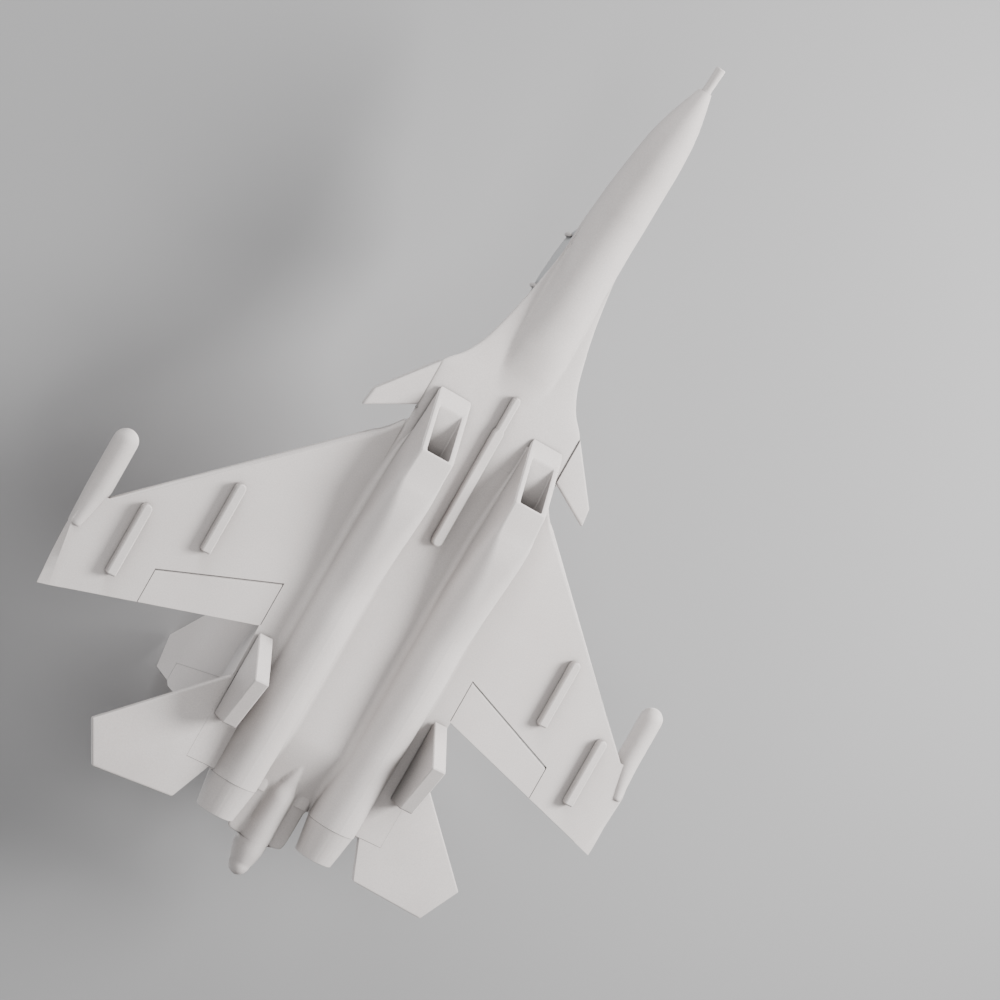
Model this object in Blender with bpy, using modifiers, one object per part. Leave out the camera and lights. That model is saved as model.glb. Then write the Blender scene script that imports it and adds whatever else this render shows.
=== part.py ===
"""Twin ducted-fan canard jet model: airframe shells, control surfaces and running gear.

Metres. Nose towards -Y, port wing towards +X, up is +Z. The origin is on the ground line,
half way along the overall length and on the plane of symmetry.
"""
import math

import bmesh
import bpy
from mathutils import Matrix, Vector

# Overall size
HALF_LENGTH = 0.500
WALL = 0.0025
GAP = 0.0003

# Heights
WING_Z = 0.055
BELLY_Z = 0.052
DUCT_X = 0.0640

# Stations along the body
NOSE_SEAM_Y = -0.310
MID_SEAM_Y = -0.020
NOZZLE_SEAM_Y = 0.4055
NOZZLE_END_Y = 0.4448

# Wing
ROOT_X = 0.0958
TIP_X = 0.3383
LEADING_SLOPE = 0.883
TRAILING_SLOPE = 0.2677
TRAILING_ROOT_Y = 0.2391
ROOT_THICKNESS = 0.0120
TIP_THICKNESS = 0.0075
EDGE_THICKNESS = 0.0025
TIP_FRONT_Y = 0.2435
TIP_BEND_X = 0.3500
TIP_EDGE_X = 0.3632
TIP_CHAMFER = 0.0050

# Flaperon, in plan
FLAP_INNER_X = 0.1254
FLAP_OUTER_X = 0.2570
FLAP_INNER_Y = 0.1965
FLAP_OUTER_Y = 0.2438
FLAP_GAP = 0.0007

# Tail
BOOM_OUTER_X = 0.1250
BOOM_END_Y = 0.3990
FIN_X = 0.1205
FIN_THICKNESS = 0.0070
RUDDER_GAP = 0.0007
STAB_Z = 0.0560
STAB_THICKNESS = 0.0065
STAB_PIVOT_Y = 0.362
SHAFT_RADIUS = 0.0015

# Canard
BODY_SIDE_X = 0.0935
CANARD_ROOT_X = 0.0940
CANARD_PIVOT_Y = -0.055
CANARD_Z = 0.0580
CANARD_THICKNESS = 0.0068
CANARD_SERVO_LOW = (0.0430, CANARD_PIVOT_Y - 0.0060, 0.0546)
CANARD_SERVO_HIGH = (0.0637, CANARD_PIVOT_Y + 0.0060, 0.0596)

# Ducted fan
FAN_Y = 0.190
FAN_RING_RADIUS = 0.0256
FAN_BORE_RADIUS = 0.0244
ROTOR_RADIUS = 0.0236
MOTOR_RADIUS = 0.0105

WHITE = (0.62, 0.60, 0.58, 1.0)
CARBON = (0.03, 0.03, 0.035, 1.0)
STEEL = (0.55, 0.55, 0.57, 1.0)
BLACK = (0.02, 0.02, 0.02, 1.0)

# Nose: station, centre height, radius
NOSE = ((-0.4700, 0.0172, 0.0076), (-0.4500, 0.0215, 0.0138), (-0.4300, 0.0258, 0.0193),
        (-0.4100, 0.0305, 0.0233), (-0.3800, 0.0362, 0.0264), (-0.3500, 0.0425, 0.0284),
        (-0.3200, 0.0475, 0.0300), (-0.2900, 0.0520, 0.0310))

# Forward body: station, plan half width, body half width, keel height, crown height, seam height
BODY = ((-0.3100, 0.0304, 0.0304, 0.0190, 0.0795, 0.0490), (-0.2900, 0.0312, 0.0310, 0.0212, 0.0830, 0.0520),
        (-0.2600, 0.0342, 0.0315, 0.0238, 0.0880, 0.0535), (-0.2300, 0.0385, 0.0318, 0.0265, 0.0930, 0.0548),
        (-0.1900, 0.0460, 0.0320, 0.0310, 0.0985, 0.0560), (-0.1500, 0.0565, 0.0320, 0.0375, 0.1020, 0.0565),
        (-0.1300, 0.0635, 0.0315, 0.0425, 0.1030, 0.0565), (-0.1100, 0.0750, 0.0310, 0.0480, 0.1025, 0.0565),
        (-0.0890, 0.0932, 0.0305, 0.0512, 0.1015, 0.0565), (-0.0600, 0.0935, 0.0300, 0.0518, 0.1000, 0.0565),
        (-0.0200, 0.0935, 0.0300, 0.0520, 0.0980, 0.0565))

# Spine behind the middle seam: station, half width, crown height
SPINE = ((-0.0200, 0.0300, 0.0980), (0.1000, 0.0290, 0.0950), (0.2000, 0.0270, 0.0935),
         (0.3000, 0.0240, 0.0920), (0.4060, 0.0200, 0.0890))

# Engine nacelle: roof station, centre x, centre height, half width, half height, squareness, lip sweep
NACELLE = ((-0.0670, 0.0620, 0.0323, 0.0205, 0.0192, 6.0, 0.0690),
           (-0.0300, 0.0630, 0.0322, 0.0222, 0.0192, 5.5, 0.0600),
           (0.0150, 0.0638, 0.0345, 0.0255, 0.0225, 4.2, 0.0340),
           (0.0600, 0.0640, 0.0385, 0.0276, 0.0262, 3.0, 0.0120),
           (0.1200, 0.0640, 0.0455, 0.0285, 0.0285, 2.2, 0.0),
           (0.1700, 0.0640, 0.0508, 0.0285, 0.0285, 2.0, 0.0),
           (0.2150, 0.0640, 0.0508, 0.0285, 0.0285, 2.0, 0.0),
           (0.3000, 0.0640, 0.0550, 0.0285, 0.0285, 2.0, 0.0),
           (0.4052, 0.0640, 0.0590, 0.0280, 0.0280, 2.0, 0.0))
NACELLE_WALLS = (0.0058, 0.0048, 0.0038, 0.0030, 0.0025, 0.0025, 0.0025, 0.0025, 0.0025)


def clear_scene():
    for item in list(bpy.data.objects):
        bpy.data.objects.remove(item, do_unlink=True)


def new_collection(name):
    group = bpy.data.collections.new(name)
    bpy.context.scene.collection.children.link(group)
    return group


def finish_material(item, colour, roughness, metallic):
    material = bpy.data.materials.new(item.name + "_material")
    material.use_nodes = True
    shader = material.node_tree.nodes["Principled BSDF"]
    shader.inputs["Base Color"].default_value = colour
    shader.inputs["Roughness"].default_value = roughness
    shader.inputs["Metallic"].default_value = metallic
    item.data.materials.clear()
    item.data.materials.append(material)


def moulded(item):
    finish_material(item, WHITE, 0.62, 0.0)
    return item


def add_object(name, mesh, group=None):
    item = bpy.data.objects.new(name, mesh)
    (group or PARTS).objects.link(item)
    return item


def mesh_from(bm, name):
    bmesh.ops.recalc_face_normals(bm, faces=bm.faces)
    if bm.calc_volume(signed=True) < 0.0:
        bmesh.ops.reverse_faces(bm, faces=bm.faces)
    mesh = bpy.data.meshes.new(name)
    bm.to_mesh(mesh)
    bm.free()
    return mesh


def shade(item, degrees=35.0):
    item.data.shade_smooth()
    item.data.set_sharp_from_angle(angle=math.radians(degrees))


def loft(name, rings, wrap=False, group=None):
    """Skin a list of closed rings with the same number of points; wrap joins the last to the first."""
    bm = bmesh.new()
    rows = [[bm.verts.new(point) for point in ring] for ring in rings]
    pairs = list(zip(rows, rows[1:]))
    if wrap:
        pairs.append((rows[-1], rows[0]))
    for row, after in pairs:
        for index in range(len(row)):
            following = (index + 1) % len(row)
            bm.faces.new((row[index], row[following], after[following], after[index]))
    if not wrap:
        bm.faces.new(list(reversed(rows[0])))
        bm.faces.new(rows[-1])
    bmesh.ops.triangulate(bm, faces=bm.faces, ngon_method="EAR_CLIP")
    item = add_object(name, mesh_from(bm, name), group)
    shade(item)
    return item


def evaluated_mesh(item):
    bpy.context.view_layer.update()
    graph = bpy.context.evaluated_depsgraph_get()
    mesh = bpy.data.meshes.new_from_object(item.evaluated_get(graph))
    mesh.transform(item.matrix_world)
    return mesh


def mirrored(item, name):
    """A starboard copy of a port piece, as an object of its own."""
    mesh = evaluated_mesh(item)
    mesh.transform(Matrix.Scale(-1.0, 4, (1, 0, 0)))
    mesh.flip_normals()
    mesh.name = name
    copy = add_object(name, mesh)
    pivot = item.location.copy()
    pivot.x = -pivot.x
    mesh.transform(Matrix.Translation(-pivot))
    copy.location = pivot
    return copy


def set_pivot(item, point):
    """Move a piece's origin onto its joint's axis without moving the piece."""
    item.data.transform(Matrix.Translation(-Vector(point)))
    item.location = point


def cylinder_between(name, start, end, radius, group, segments=16):
    start = Vector(start)
    end = Vector(end)
    span = end - start
    bm = bmesh.new()
    bmesh.ops.create_cone(bm, cap_ends=True, segments=segments, radius1=radius, radius2=radius,
                          depth=span.length)
    bm.transform(Matrix.Translation((start + end) / 2.0) @ span.to_track_quat("Z", "Y").to_matrix().to_4x4())
    return add_object(name, mesh_from(bm, name), group)


def block(name, low, high, group=None, bevel=0.0):
    """A box between two corners, with its edges bevelled."""
    low = Vector(low)
    high = Vector(high)
    bm = bmesh.new()
    bmesh.ops.create_cube(bm, size=1.0)
    size = high - low
    bm.transform(Matrix.Translation((low + high) / 2.0) @ Matrix.Diagonal((*size, 1.0)))
    if bevel:
        bmesh.ops.bevel(bm, geom=list(bm.edges), offset=bevel, segments=1, affect="EDGES")
    return add_object(name, mesh_from(bm, name), group)


def hide_cutter(cutter):
    cutter.hide_render = True
    cutter.display_type = "WIRE"


def cut(item, cutter):
    hide_cutter(cutter)
    change = item.modifiers.new("cut_" + cutter.name, "BOOLEAN")
    change.operation = "DIFFERENCE"
    change.solver = "EXACT"
    change.object = cutter


def joined(item, extra):
    """Unite two closed shapes into one body and drop the second."""
    change = item.modifiers.new("join", "BOOLEAN")
    change.operation = "UNION"
    change.solver = "EXACT"
    change.object = extra
    mesh = evaluated_mesh(item)
    name = item.name
    bpy.data.objects.remove(item, do_unlink=True)
    bpy.data.objects.remove(extra, do_unlink=True)
    mesh.name = name
    return add_object(name, mesh)


def plate(name, outline, across, thickness, bevel, group=None):
    """A flat outline given a thickness about its plane; across is the axis it is thickened along."""
    bm = bmesh.new()
    half = thickness / 2.0
    spots = {"X": lambda a, b: (-half, a, b), "Z": lambda a, b: (a, b, -half)}[across]
    face = bm.faces.new([bm.verts.new(spots(a, b)) for a, b in outline])
    step = Vector((thickness, 0, 0)) if across == "X" else Vector((0, 0, thickness))
    grown = bmesh.ops.extrude_face_region(bm, geom=[face])
    moved = [part for part in grown["geom"] if isinstance(part, bmesh.types.BMVert)]
    bmesh.ops.translate(bm, verts=moved, vec=step)
    item = add_object(name, mesh_from(bm, name), group)
    if bevel:
        edge = item.modifiers.new("edge", "BEVEL")
        edge.width = bevel
        edge.segments = 1
        edge.limit_method = "ANGLE"
        edge.angle_limit = math.radians(30.0)
    return item


def turned(name, profile, centre, segments=24, group=None):
    """Turn a profile of (radius, distance aft) points about a line along Y through centre."""
    mesh = bpy.data.meshes.new(name)
    points = [(radius, 0.0, -aft) for radius, aft in profile]
    edges = [(index, index + 1) for index in range(len(points) - 1)]
    mesh.from_pydata(points, edges, [])
    item = add_object(name, mesh, group)
    spin = item.modifiers.new("turn", "SCREW")
    spin.steps = segments
    spin.render_steps = segments
    spin.use_merge_vertices = True
    spin.merge_threshold = 0.00001
    spin.use_normal_calculate = True
    item.rotation_euler = (math.pi / 2.0, 0.0, 0.0)
    item.location = centre
    solid = evaluated_mesh(item)
    bpy.data.objects.remove(item, do_unlink=True)
    bm = bmesh.new()
    bm.from_mesh(solid)
    bmesh.ops.remove_doubles(bm, verts=bm.verts, dist=0.00001)
    result = add_object(name, mesh_from(bm, name), group)
    shade(result)
    set_pivot(result, centre)
    return result


def ease(fraction):
    fraction = min(max(fraction, 0.0), 1.0)
    return fraction * fraction * (3.0 - 2.0 * fraction)


def along(table, y, column):
    """Smooth value of one column of a station table at y."""
    if y <= table[0][0]:
        return table[0][column]
    if y >= table[-1][0]:
        return table[-1][column]
    index = max(i for i, row in enumerate(table) if row[0] <= y)
    index = min(index, len(table) - 2)

    def slope(i):
        low = table[max(i - 1, 0)]
        high = table[min(i + 1, len(table) - 1)]
        return (high[column] - low[column]) / (high[0] - low[0])

    first = table[index]
    second = table[index + 1]
    span = second[0] - first[0]
    t = (y - first[0]) / span
    a = 2 * t ** 3 - 3 * t ** 2 + 1
    b = t ** 3 - 2 * t ** 2 + t
    c = -2 * t ** 3 + 3 * t ** 2
    d = t ** 3 - t ** 2
    return a * first[column] + b * span * slope(index) + c * second[column] + d * span * slope(index + 1)


def smooth_max(first, second, reach):
    if reach <= 0.0:
        return max(first, second)
    closeness = max(reach - abs(first - second), 0.0) / reach
    return max(first, second) + closeness * closeness * reach / 4.0


def dome(offset, half_width, height, square=2.0):
    """Height of an arch at an offset from its middle; it is an ellipse, or flatter when squared, and falls
    away outside."""
    ratio = min(abs(offset) / half_width, 1.0)
    return height * (1.0 - ratio ** square) ** (1.0 / square) - 3.0 * max(abs(offset) - half_width, 0.0)


def body_half(y):
    return min(along(BODY, y, 1), BODY_SIDE_X)


def body_top(x, y):
    """Upper surface of the forward body at (x, y)."""
    half = body_half(y)
    body, crown, seam = (along(BODY, y, column) for column in (2, 4, 5))
    shelf = 0.0055 * ease((half - body) / 0.012)
    reach = min(0.020, 1.6 * max(half - body, 0.0))
    lift = smooth_max(dome(x, body, crown - seam), dome(x, half, shelf, 4.0), reach)
    return seam + lift * ease((half - abs(x)) / 0.0012) ** 0.25


def body_low(x, y):
    """Lower surface of the forward body at (x, y)."""
    half = body_half(y)
    body, keel, seam = (along(BODY, y, column) for column in (2, 3, 5))
    shelf = 0.0045 * ease((half - body) / 0.012)
    reach = min(0.014, 1.2 * max(half - body, 0.0), max(seam - keel - shelf, 0.0))
    drop = smooth_max(dome(x, body, seam - keel), dome(x, half, shelf), reach)
    return seam - drop * ease((half - abs(x)) / 0.0012) ** 0.25


def deck_top(x, y):
    """Upper surface of the body behind the middle seam at (x, y)."""
    half = ROOT_X - GAP
    grow = ease((y - MID_SEAM_Y) / 0.14)
    spine = dome(x, along(SPINE, y, 1), along(SPINE, y, 2) - WING_Z)
    shelf = dome(x, half, 0.0070 + 0.0120 * grow, 4.0 - 2.0 * grow)
    duct_roof = along(NACELLE, y, 2) + along(NACELLE, y, 4) + WALL + 0.0014 - WING_Z
    bulge = dome(abs(x) - DUCT_X, 0.0312, max(duct_roof, 0.0))
    return WING_Z + smooth_max(spine, smooth_max(shelf, bulge, 0.010), 0.016)


def arch_ring(y, half, seam, height_at, count, wall=WALL, sign=1.0):
    """A C-shaped section: an outer skin over the seam line and the same skin set in by the wall."""
    angles = [math.pi * (index / (count - 1) - 0.5) for index in range(count)]
    outer = []
    inner = []
    for index, angle in enumerate(angles):
        at_end = index in (0, count - 1)
        x = half * math.sin(angle)
        outer.append((x, y, seam if at_end else height_at(x, y)))
        x = (half - wall) * math.sin(angle)
        depth = max(sign * (height_at(x, y) - seam) - wall, 0.0004)
        inner.append((x, y, seam if at_end else seam + sign * depth))
    return outer + inner[::-1]


def frange(start, end, count):
    return [start + (end - start) * index / (count - 1) for index in range(count)]


def circle_ring(y, z, radius, x=0.0, count=20):
    angles = [2.0 * math.pi * index / count for index in range(count)]
    return [(x + radius * math.cos(angle), y, z + radius * math.sin(angle)) for angle in angles]


def build_nose():
    stations = frange(NOSE[0][0], NOSE_SEAM_Y - GAP, 9)
    outer = [circle_ring(y, along(NOSE, y, 1), along(NOSE, y, 2)) for y in stations]
    inside = [y for y in stations if y > -0.44]
    inner = [circle_ring(y, along(NOSE, y, 1), along(NOSE, y, 2) - WALL) for y in inside]
    moulded(loft("nose_cone", inner + outer[::-1]))
    rise = math.radians(9.0)
    tip_y = -HALF_LENGTH + 0.0046 * math.sin(rise)
    base_y = NOSE[0][0] - 0.0013
    profile = ((0.0, 0.0), (0.0046, 0.0), (0.0054, 0.0008), (0.0050, base_y - tip_y - 0.004),
               (0.0062, base_y - tip_y), (0.0, base_y - tip_y))
    boom = turned("pitot_boom", profile, (0.0, tip_y, 0.0108), 20)
    boom.rotation_euler = (rise, 0.0, 0.0)
    moulded(boom)


def build_front_shells():
    stations = frange(NOSE_SEAM_Y, -0.13, 8) + [-0.11, -0.10, -0.089, -0.06, MID_SEAM_Y - GAP]
    rings = []
    for y in stations:
        rings.append(arch_ring(y, body_half(y), along(BODY, y, 5) + GAP / 2, body_top, 21))
    top = moulded(loft("fuselage_top", rings))
    rings = []
    for y in stations:
        rings.append(arch_ring(y, body_half(y), along(BODY, y, 5) - GAP / 2, body_low, 17, sign=-1.0))
    belly = moulded(loft("fuselage_belly", rings))
    return top, belly


CANOPY_START_Y = -0.298
CANOPY_END_Y = -0.160
# Canopy: station, half width, crown height
CANOPY = ((-0.2980, 0.0090, 0.0845), (-0.2900, 0.0170, 0.0960), (-0.2750, 0.0240, 0.1130),
          (-0.2550, 0.0257, 0.1205), (-0.2350, 0.0260, 0.1240), (-0.2150, 0.0258, 0.1245),
          (-0.1950, 0.0240, 0.1215), (-0.1750, 0.0190, 0.1150), (-0.1600, 0.0110, 0.1060))
CANOPY_WALL = 0.0018


def canopy_half(y):
    return along(CANOPY, y, 1)


def build_canopy(top):
    """The lift-off hatch, and the opening it closes in the upper shell."""
    stations = frange(CANOPY_START_Y, CANOPY_END_Y, 10)
    outline = [(canopy_half(y), y) for y in stations] + [(-canopy_half(y), y) for y in stations[::-1]]
    stations[0] += GAP
    stations[-1] -= GAP
    rings = []
    for y in stations:
        half = canopy_half(y)
        sill = body_top(half, y) - CANOPY_WALL
        crown = along(CANOPY, y, 2)
        count = 9
        outer = []
        inner = []
        for index in range(count):
            angle = math.pi * (index / (count - 1) - 0.5)
            outer.append(((half - GAP) * math.sin(angle), y, sill + (crown - sill) * math.cos(angle)))
            inset = half - GAP - CANOPY_WALL
            rise = crown - CANOPY_WALL - sill
            inner.append((inset * math.sin(angle), y, sill + rise * math.cos(angle)))
        rings.append(outer + inner[::-1])
    hatch = moulded(loft("canopy_hatch", rings))
    set_pivot(hatch, (0.0, -0.225, 0.095))
    opening = plate("canopy_opening", outline, "Z", 0.080, 0.0, CUTTERS)
    opening.location = (0.0, 0.0, 0.105)
    cut(top, opening)


def build_deck():
    """Rear upper shell with the inward flange beside each nacelle, and the flat floor between them."""
    half = ROOT_X - GAP
    rings = []
    count = 27
    for y in frange(MID_SEAM_Y + GAP, 0.12, 5) + frange(0.17, NOZZLE_SEAM_Y - 2 * GAP, 5):
        outer = []
        inner = []
        side = nacelle_outer_x(y) + 0.0018
        for index in range(count):
            angle = math.pi * (index / (count - 1) - 0.5)
            at_end = index in (0, count - 1)
            x = half * math.sin(angle)
            outer.append((x, y, WING_Z if at_end else deck_top(x, y)))
            x = (half - WALL) * math.sin(angle)
            depth = max(deck_top(x, y) - WING_Z - WALL, 0.0030)
            inner.append((x, y, WING_Z + depth))
        edge = min(side, half - WALL - 0.0006)
        step = 0.0022
        left = [(-edge, y, WING_Z), (-edge, y, WING_Z + step)]
        right = [(edge, y, WING_Z + step), (edge, y, WING_Z)]
        rings.append(outer + right[::-1] + inner[::-1] + left[::-1])
    moulded(loft("rear_deck", rings))


def nacelle_outer_x(y):
    """Outer side of the nacelle where it passes the underside of the wing."""
    centre, height, wide, tall, square = (along(NACELLE, y, column) for column in (1, 2, 3, 4, 5))
    rise = min(abs(WING_Z - height) / tall, 0.999)
    if WING_Z < height + tall:
        return centre + wide * (1.0 - rise ** square) ** (1.0 / square)
    return centre


FLOOR_HALF = 0.0348
RIDGE_HALF = 0.0150


def floor_ridge(y):
    """Share of the full height of the ridge that runs into the tail cone."""
    return ease((y - 0.350) / 0.10)


def build_floor():
    rings = []
    for y in frange(MID_SEAM_Y + GAP, 0.33, 4) + frange(0.352, NOZZLE_SEAM_Y - 2 * GAP, 5):
        outer = []
        for index in range(9):
            x = FLOOR_HALF * (index / 4.0 - 1.0)
            rise = 0.012 * ease((y - 0.345) / 0.07)
            if abs(x) < RIDGE_HALF:
                rise -= dome(x, RIDGE_HALF, 0.013 * floor_ridge(y))
            outer.append((x, y, BELLY_Z + rise))
        upper = [(x, y, z + WALL) for x, y, z in outer]
        rings.append(outer + upper[::-1])
    moulded(loft("tunnel_floor", rings))


# nacelles, nozzles, fans

def squared_ring(y, centre, height, wide, tall, square, sweep, count=28):
    """A rounded rectangle or circle; sweep carries its lower side aft of its roof."""
    ring = []
    power = 2.0 / square
    for index in range(count):
        angle = 2.0 * math.pi * (index + 0.5) / count
        side = math.cos(angle)
        up = math.sin(angle)
        x = centre + wide * math.copysign(abs(side) ** power, side)
        z = height + tall * math.copysign(abs(up) ** power, up)
        lean = sweep * (height + tall - z) / (2.0 * tall)
        ring.append((x, y + lean, z))
    return ring


def build_nacelle():
    outer = []
    inner = []
    for row, wall in zip(NACELLE, NACELLE_WALLS):
        y, centre, height, wide, tall, square, sweep = row
        outer.append(squared_ring(*row))
        roof = wall * (1.0 + 1.2 * sweep / 0.069)
        inner_height = height - (roof - wall) / 2.0
        inner_tall = tall - (roof + wall) / 2.0
        inner.append(squared_ring(y + sweep * 0.06, centre, inner_height, wide - wall, inner_tall,
                                  square, sweep * 0.90))
    moulded(loft("nacelle_port", outer + inner[::-1], wrap=True))


def build_nozzle():
    rows = ((NOZZLE_SEAM_Y + GAP, 0.0590, 0.0280), (0.4090, 0.0591, 0.0280), (0.4280, 0.0594, 0.0253),
            (NOZZLE_END_Y, 0.0596, 0.0216))
    outer = [circle_ring(y, z, radius, 0.0638, 24) for y, z, radius in rows]
    inner = [circle_ring(y, z, radius - 0.0020, 0.0638, 24) for y, z, radius in rows]
    moulded(loft("nozzle_port", outer + inner[::-1], wrap=True))


def duct_centre(y):
    return along(NACELLE, y, 2)


def build_fan():
    centre = (DUCT_X, FAN_Y, duct_centre(FAN_Y))
    ring = turned("fan_housing_port", ((FAN_RING_RADIUS, -0.016), (FAN_RING_RADIUS, 0.018),
                                       (FAN_BORE_RADIUS, 0.018), (FAN_BORE_RADIUS, -0.016),
                                       (FAN_RING_RADIUS, -0.016)), centre, 28)
    hub = turned("fan_hub", ((0.0128, 0.0), (0.0128, 0.017), (0.0112, 0.017), (0.0112, 0.0),
                             (0.0128, 0.0)), centre, 24)
    ring = joined(ring, hub)
    bm = bmesh.new()
    for index in range(5):
        turn = Matrix.Rotation(2.0 * math.pi * index / 5.0, 4, "Y")
        shape = Matrix.Translation((0.0186, 0.0105, 0.0)) @ Matrix.Diagonal((0.0126, 0.010, 0.0012, 1.0))
        bmesh.ops.create_cube(bm, size=1.0, matrix=turn @ shape)
    vanes = add_object("fan_vanes", mesh_from(bm, "fan_vanes"))
    vanes.location = centre
    housing = joined(ring, vanes)
    finish_material(housing, BLACK, 0.45, 0.0)

    hub_profile = ((0.0, -0.0150), (0.0040, -0.0138), (0.0075, -0.0110), (0.0100, -0.0060),
                   (0.0105, -0.0010), (0.0020, -0.0010), (0.0020, -0.0070), (0.0, -0.0070))
    rotor = turned("fan_rotor_port", hub_profile, centre, 24)
    bm = bmesh.new()
    for index in range(8):
        turn = Matrix.Rotation(2.0 * math.pi * index / 8.0, 4, "Y")
        pitch = Matrix.Rotation(math.radians(38.0), 4, "X")
        reach = ROTOR_RADIUS - 0.0080
        place = Matrix.Translation((0.0080 + reach / 2.0, -0.0055, 0.0)) @ pitch
        blade = Matrix.Diagonal((reach, 0.0008, 0.0065, 1.0))
        bmesh.ops.create_cube(bm, size=1.0, matrix=turn @ place @ blade)
    blades = add_object("fan_blades", mesh_from(bm, "fan_blades"))
    blades.location = centre
    rotor = joined(rotor, blades)
    set_pivot(rotor, centre)
    finish_material(rotor, BLACK, 0.35, 0.0)

    shaft = 0.0015
    can = ((0.0, -0.0066), (shaft, -0.0066), (shaft, 0.0006), (MOTOR_RADIUS, 0.0006),
           (MOTOR_RADIUS, 0.0240), (0.0060, 0.0270), (0.0, 0.0270))
    motor = turned("fan_motor_port", can, centre, 24)
    finish_material(motor, STEEL, 0.35, 0.9)
    return housing, rotor, motor


# wings

def leading_y(x):
    strake = 0.010 - 0.0268 * (max(0.121 - x, 0.0) / 0.0252) ** 1.29
    return strake if x < 0.121 else 0.0098 + (x - 0.121) * LEADING_SLOPE


def trailing_y(x):
    return TRAILING_ROOT_Y + (x - ROOT_X) * TRAILING_SLOPE


def wing_thickness(x):
    return ROOT_THICKNESS + (TIP_THICKNESS - ROOT_THICKNESS) * (x - ROOT_X) / (TIP_X - ROOT_X)


def wing_top(x, y):
    """Upper surface of the wing: level to just past mid chord, then straight down to the trailing edge."""
    thickness = wing_thickness(x)
    shoulder = 0.55
    fraction = (y - leading_y(x)) / (trailing_y(x) - leading_y(x))
    fall = min(max((fraction - shoulder) / (1.0 - shoulder), 0.0), 1.0)
    return WING_Z + thickness + (EDGE_THICKNESS - thickness) * fall


def wing_ring(x):
    """Section of the wing: flat underside, a bevelled and blunt leading edge, and a thin trailing edge."""
    front = leading_y(x)
    if x > TIP_X:
        front = TIP_FRONT_Y
    back = trailing_y(x)
    tip_share = max(x - TIP_X, 0.0) / (TIP_EDGE_X - TIP_X)
    thick = wing_thickness(min(x, TIP_X))
    shoulder = leading_y(min(x, TIP_X)) + 0.55 * (back - leading_y(min(x, TIP_X)))
    shoulder = max(shoulder, front + 0.016)
    if x > TIP_X - 0.0001:
        lower = (WING_Z + thick * 0.05, WING_Z, WING_Z)
    else:
        lower = (WING_Z + thick * 0.42, WING_Z + 0.0012, WING_Z)
    rise = TIP_CHAMFER * ease((x - TIP_BEND_X) / (TIP_EDGE_X - TIP_BEND_X)) if x > TIP_BEND_X else 0.0
    top = WING_Z + thick - 0.0010 * tip_share
    edge = max(WING_Z + EDGE_THICKNESS, WING_Z + rise * 0.35 + 0.0010)
    return [(x, front, lower[0] + rise), (x, front + 0.0030, lower[1] + rise),
            (x, front + 0.0080, lower[2] + rise), (x, back, WING_Z + rise * 0.35), (x, back, edge),
            (x, shoulder, top), (x, front + 0.0130, top), (x, front, WING_Z + thick * 0.86)]


def hinge_y(x):
    """Front edge of the flaperon."""
    return FLAP_INNER_Y + (x - FLAP_INNER_X) * (FLAP_OUTER_Y - FLAP_INNER_Y) / (FLAP_OUTER_X - FLAP_INNER_X)


SPAR_RADIUS = 0.0023
SERVO_SIZE = (0.0200, 0.0180, 0.0080)
FLAP_SERVO_LOW = (0.0985, 0.1290)


def build_wing():
    stations = [ROOT_X, 0.100, 0.106, 0.113, 0.121, 0.200, 0.270, TIP_X, TIP_X + 0.0004, TIP_BEND_X, 0.3566,
                TIP_EDGE_X]
    wing = moulded(loft("wing_port", [wing_ring(x) for x in stations]))
    shade(wing, 20.0)
    clear = FLAP_GAP
    outline = [(FLAP_INNER_X - clear, hinge_y(FLAP_INNER_X) - clear), (FLAP_OUTER_X + clear,
               hinge_y(FLAP_OUTER_X) - clear), (FLAP_OUTER_X + clear, 0.33), (FLAP_INNER_X - clear, 0.33)]
    notch = plate("flaperon_notch_port", outline, "Z", 0.04, 0.0, CUTTERS)
    notch.location = (0.0, 0.0, WING_Z)
    cut(wing, notch)
    low_x, low_y = FLAP_SERVO_LOW
    pocket = block("servo_pocket_port", (low_x - GAP, low_y - GAP, WING_Z + 0.0020),
                   (low_x + SERVO_SIZE[0] + GAP, low_y + SERVO_SIZE[1] + GAP, WING_Z + 0.03), CUTTERS)
    cut(wing, pocket)
    spar_z = WING_Z + 0.0055
    start = Vector((ROOT_X + 0.0012, 0.1170, spar_z))
    reach = Vector((0.1320, 0.0320, -0.0004))
    bore = cylinder_between("spar_bore_port", start - 0.1 * reach, start + 1.01 * reach,
                            SPAR_RADIUS + GAP, CUTTERS)
    cut(wing, bore)
    spar = cylinder_between("wing_spar_port", start, start + reach, SPAR_RADIUS, PARTS)
    shade(spar)
    finish_material(spar, CARBON, 0.4, 0.0)
    low = Vector((low_x, low_y, WING_Z + 0.0023))
    servo = block("flaperon_servo_port", low, low + Vector(SERVO_SIZE), None, 0.0006)
    finish_material(servo, BLACK, 0.4, 0.0)
    return wing, spar, servo


def flap_axis(x):
    """The hinge line runs down the middle of the rounded front edge."""
    depth = (wing_top(x, hinge_y(x) + 0.004) - WING_Z) / 2.0
    return Vector((x, hinge_y(x) + depth, WING_Z + depth))


def flap_ring(x):
    axis = flap_axis(x)
    radius = axis.z - WING_Z
    ring = []
    for index in range(7):
        angle = math.pi * (0.5 + index / 6.0)
        ring.append((x, axis.y + radius * math.cos(angle), axis.z + radius * math.sin(angle)))
    back = trailing_y(x)
    ring.append((x, back, WING_Z))
    ring.append((x, back, WING_Z + EDGE_THICKNESS))
    return ring


def build_flaperon():
    flap = moulded(loft("flaperon_port", [flap_ring(x) for x in frange(FLAP_INNER_X, FLAP_OUTER_X, 4)]))
    shade(flap, 20.0)
    set_pivot(flap, flap_axis(FLAP_INNER_X))
    return flap


POD_X = 0.3493
POD_Z = 0.0655
POD_RADIUS = 0.0135
POD_NOSE_Y = 0.129
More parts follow.
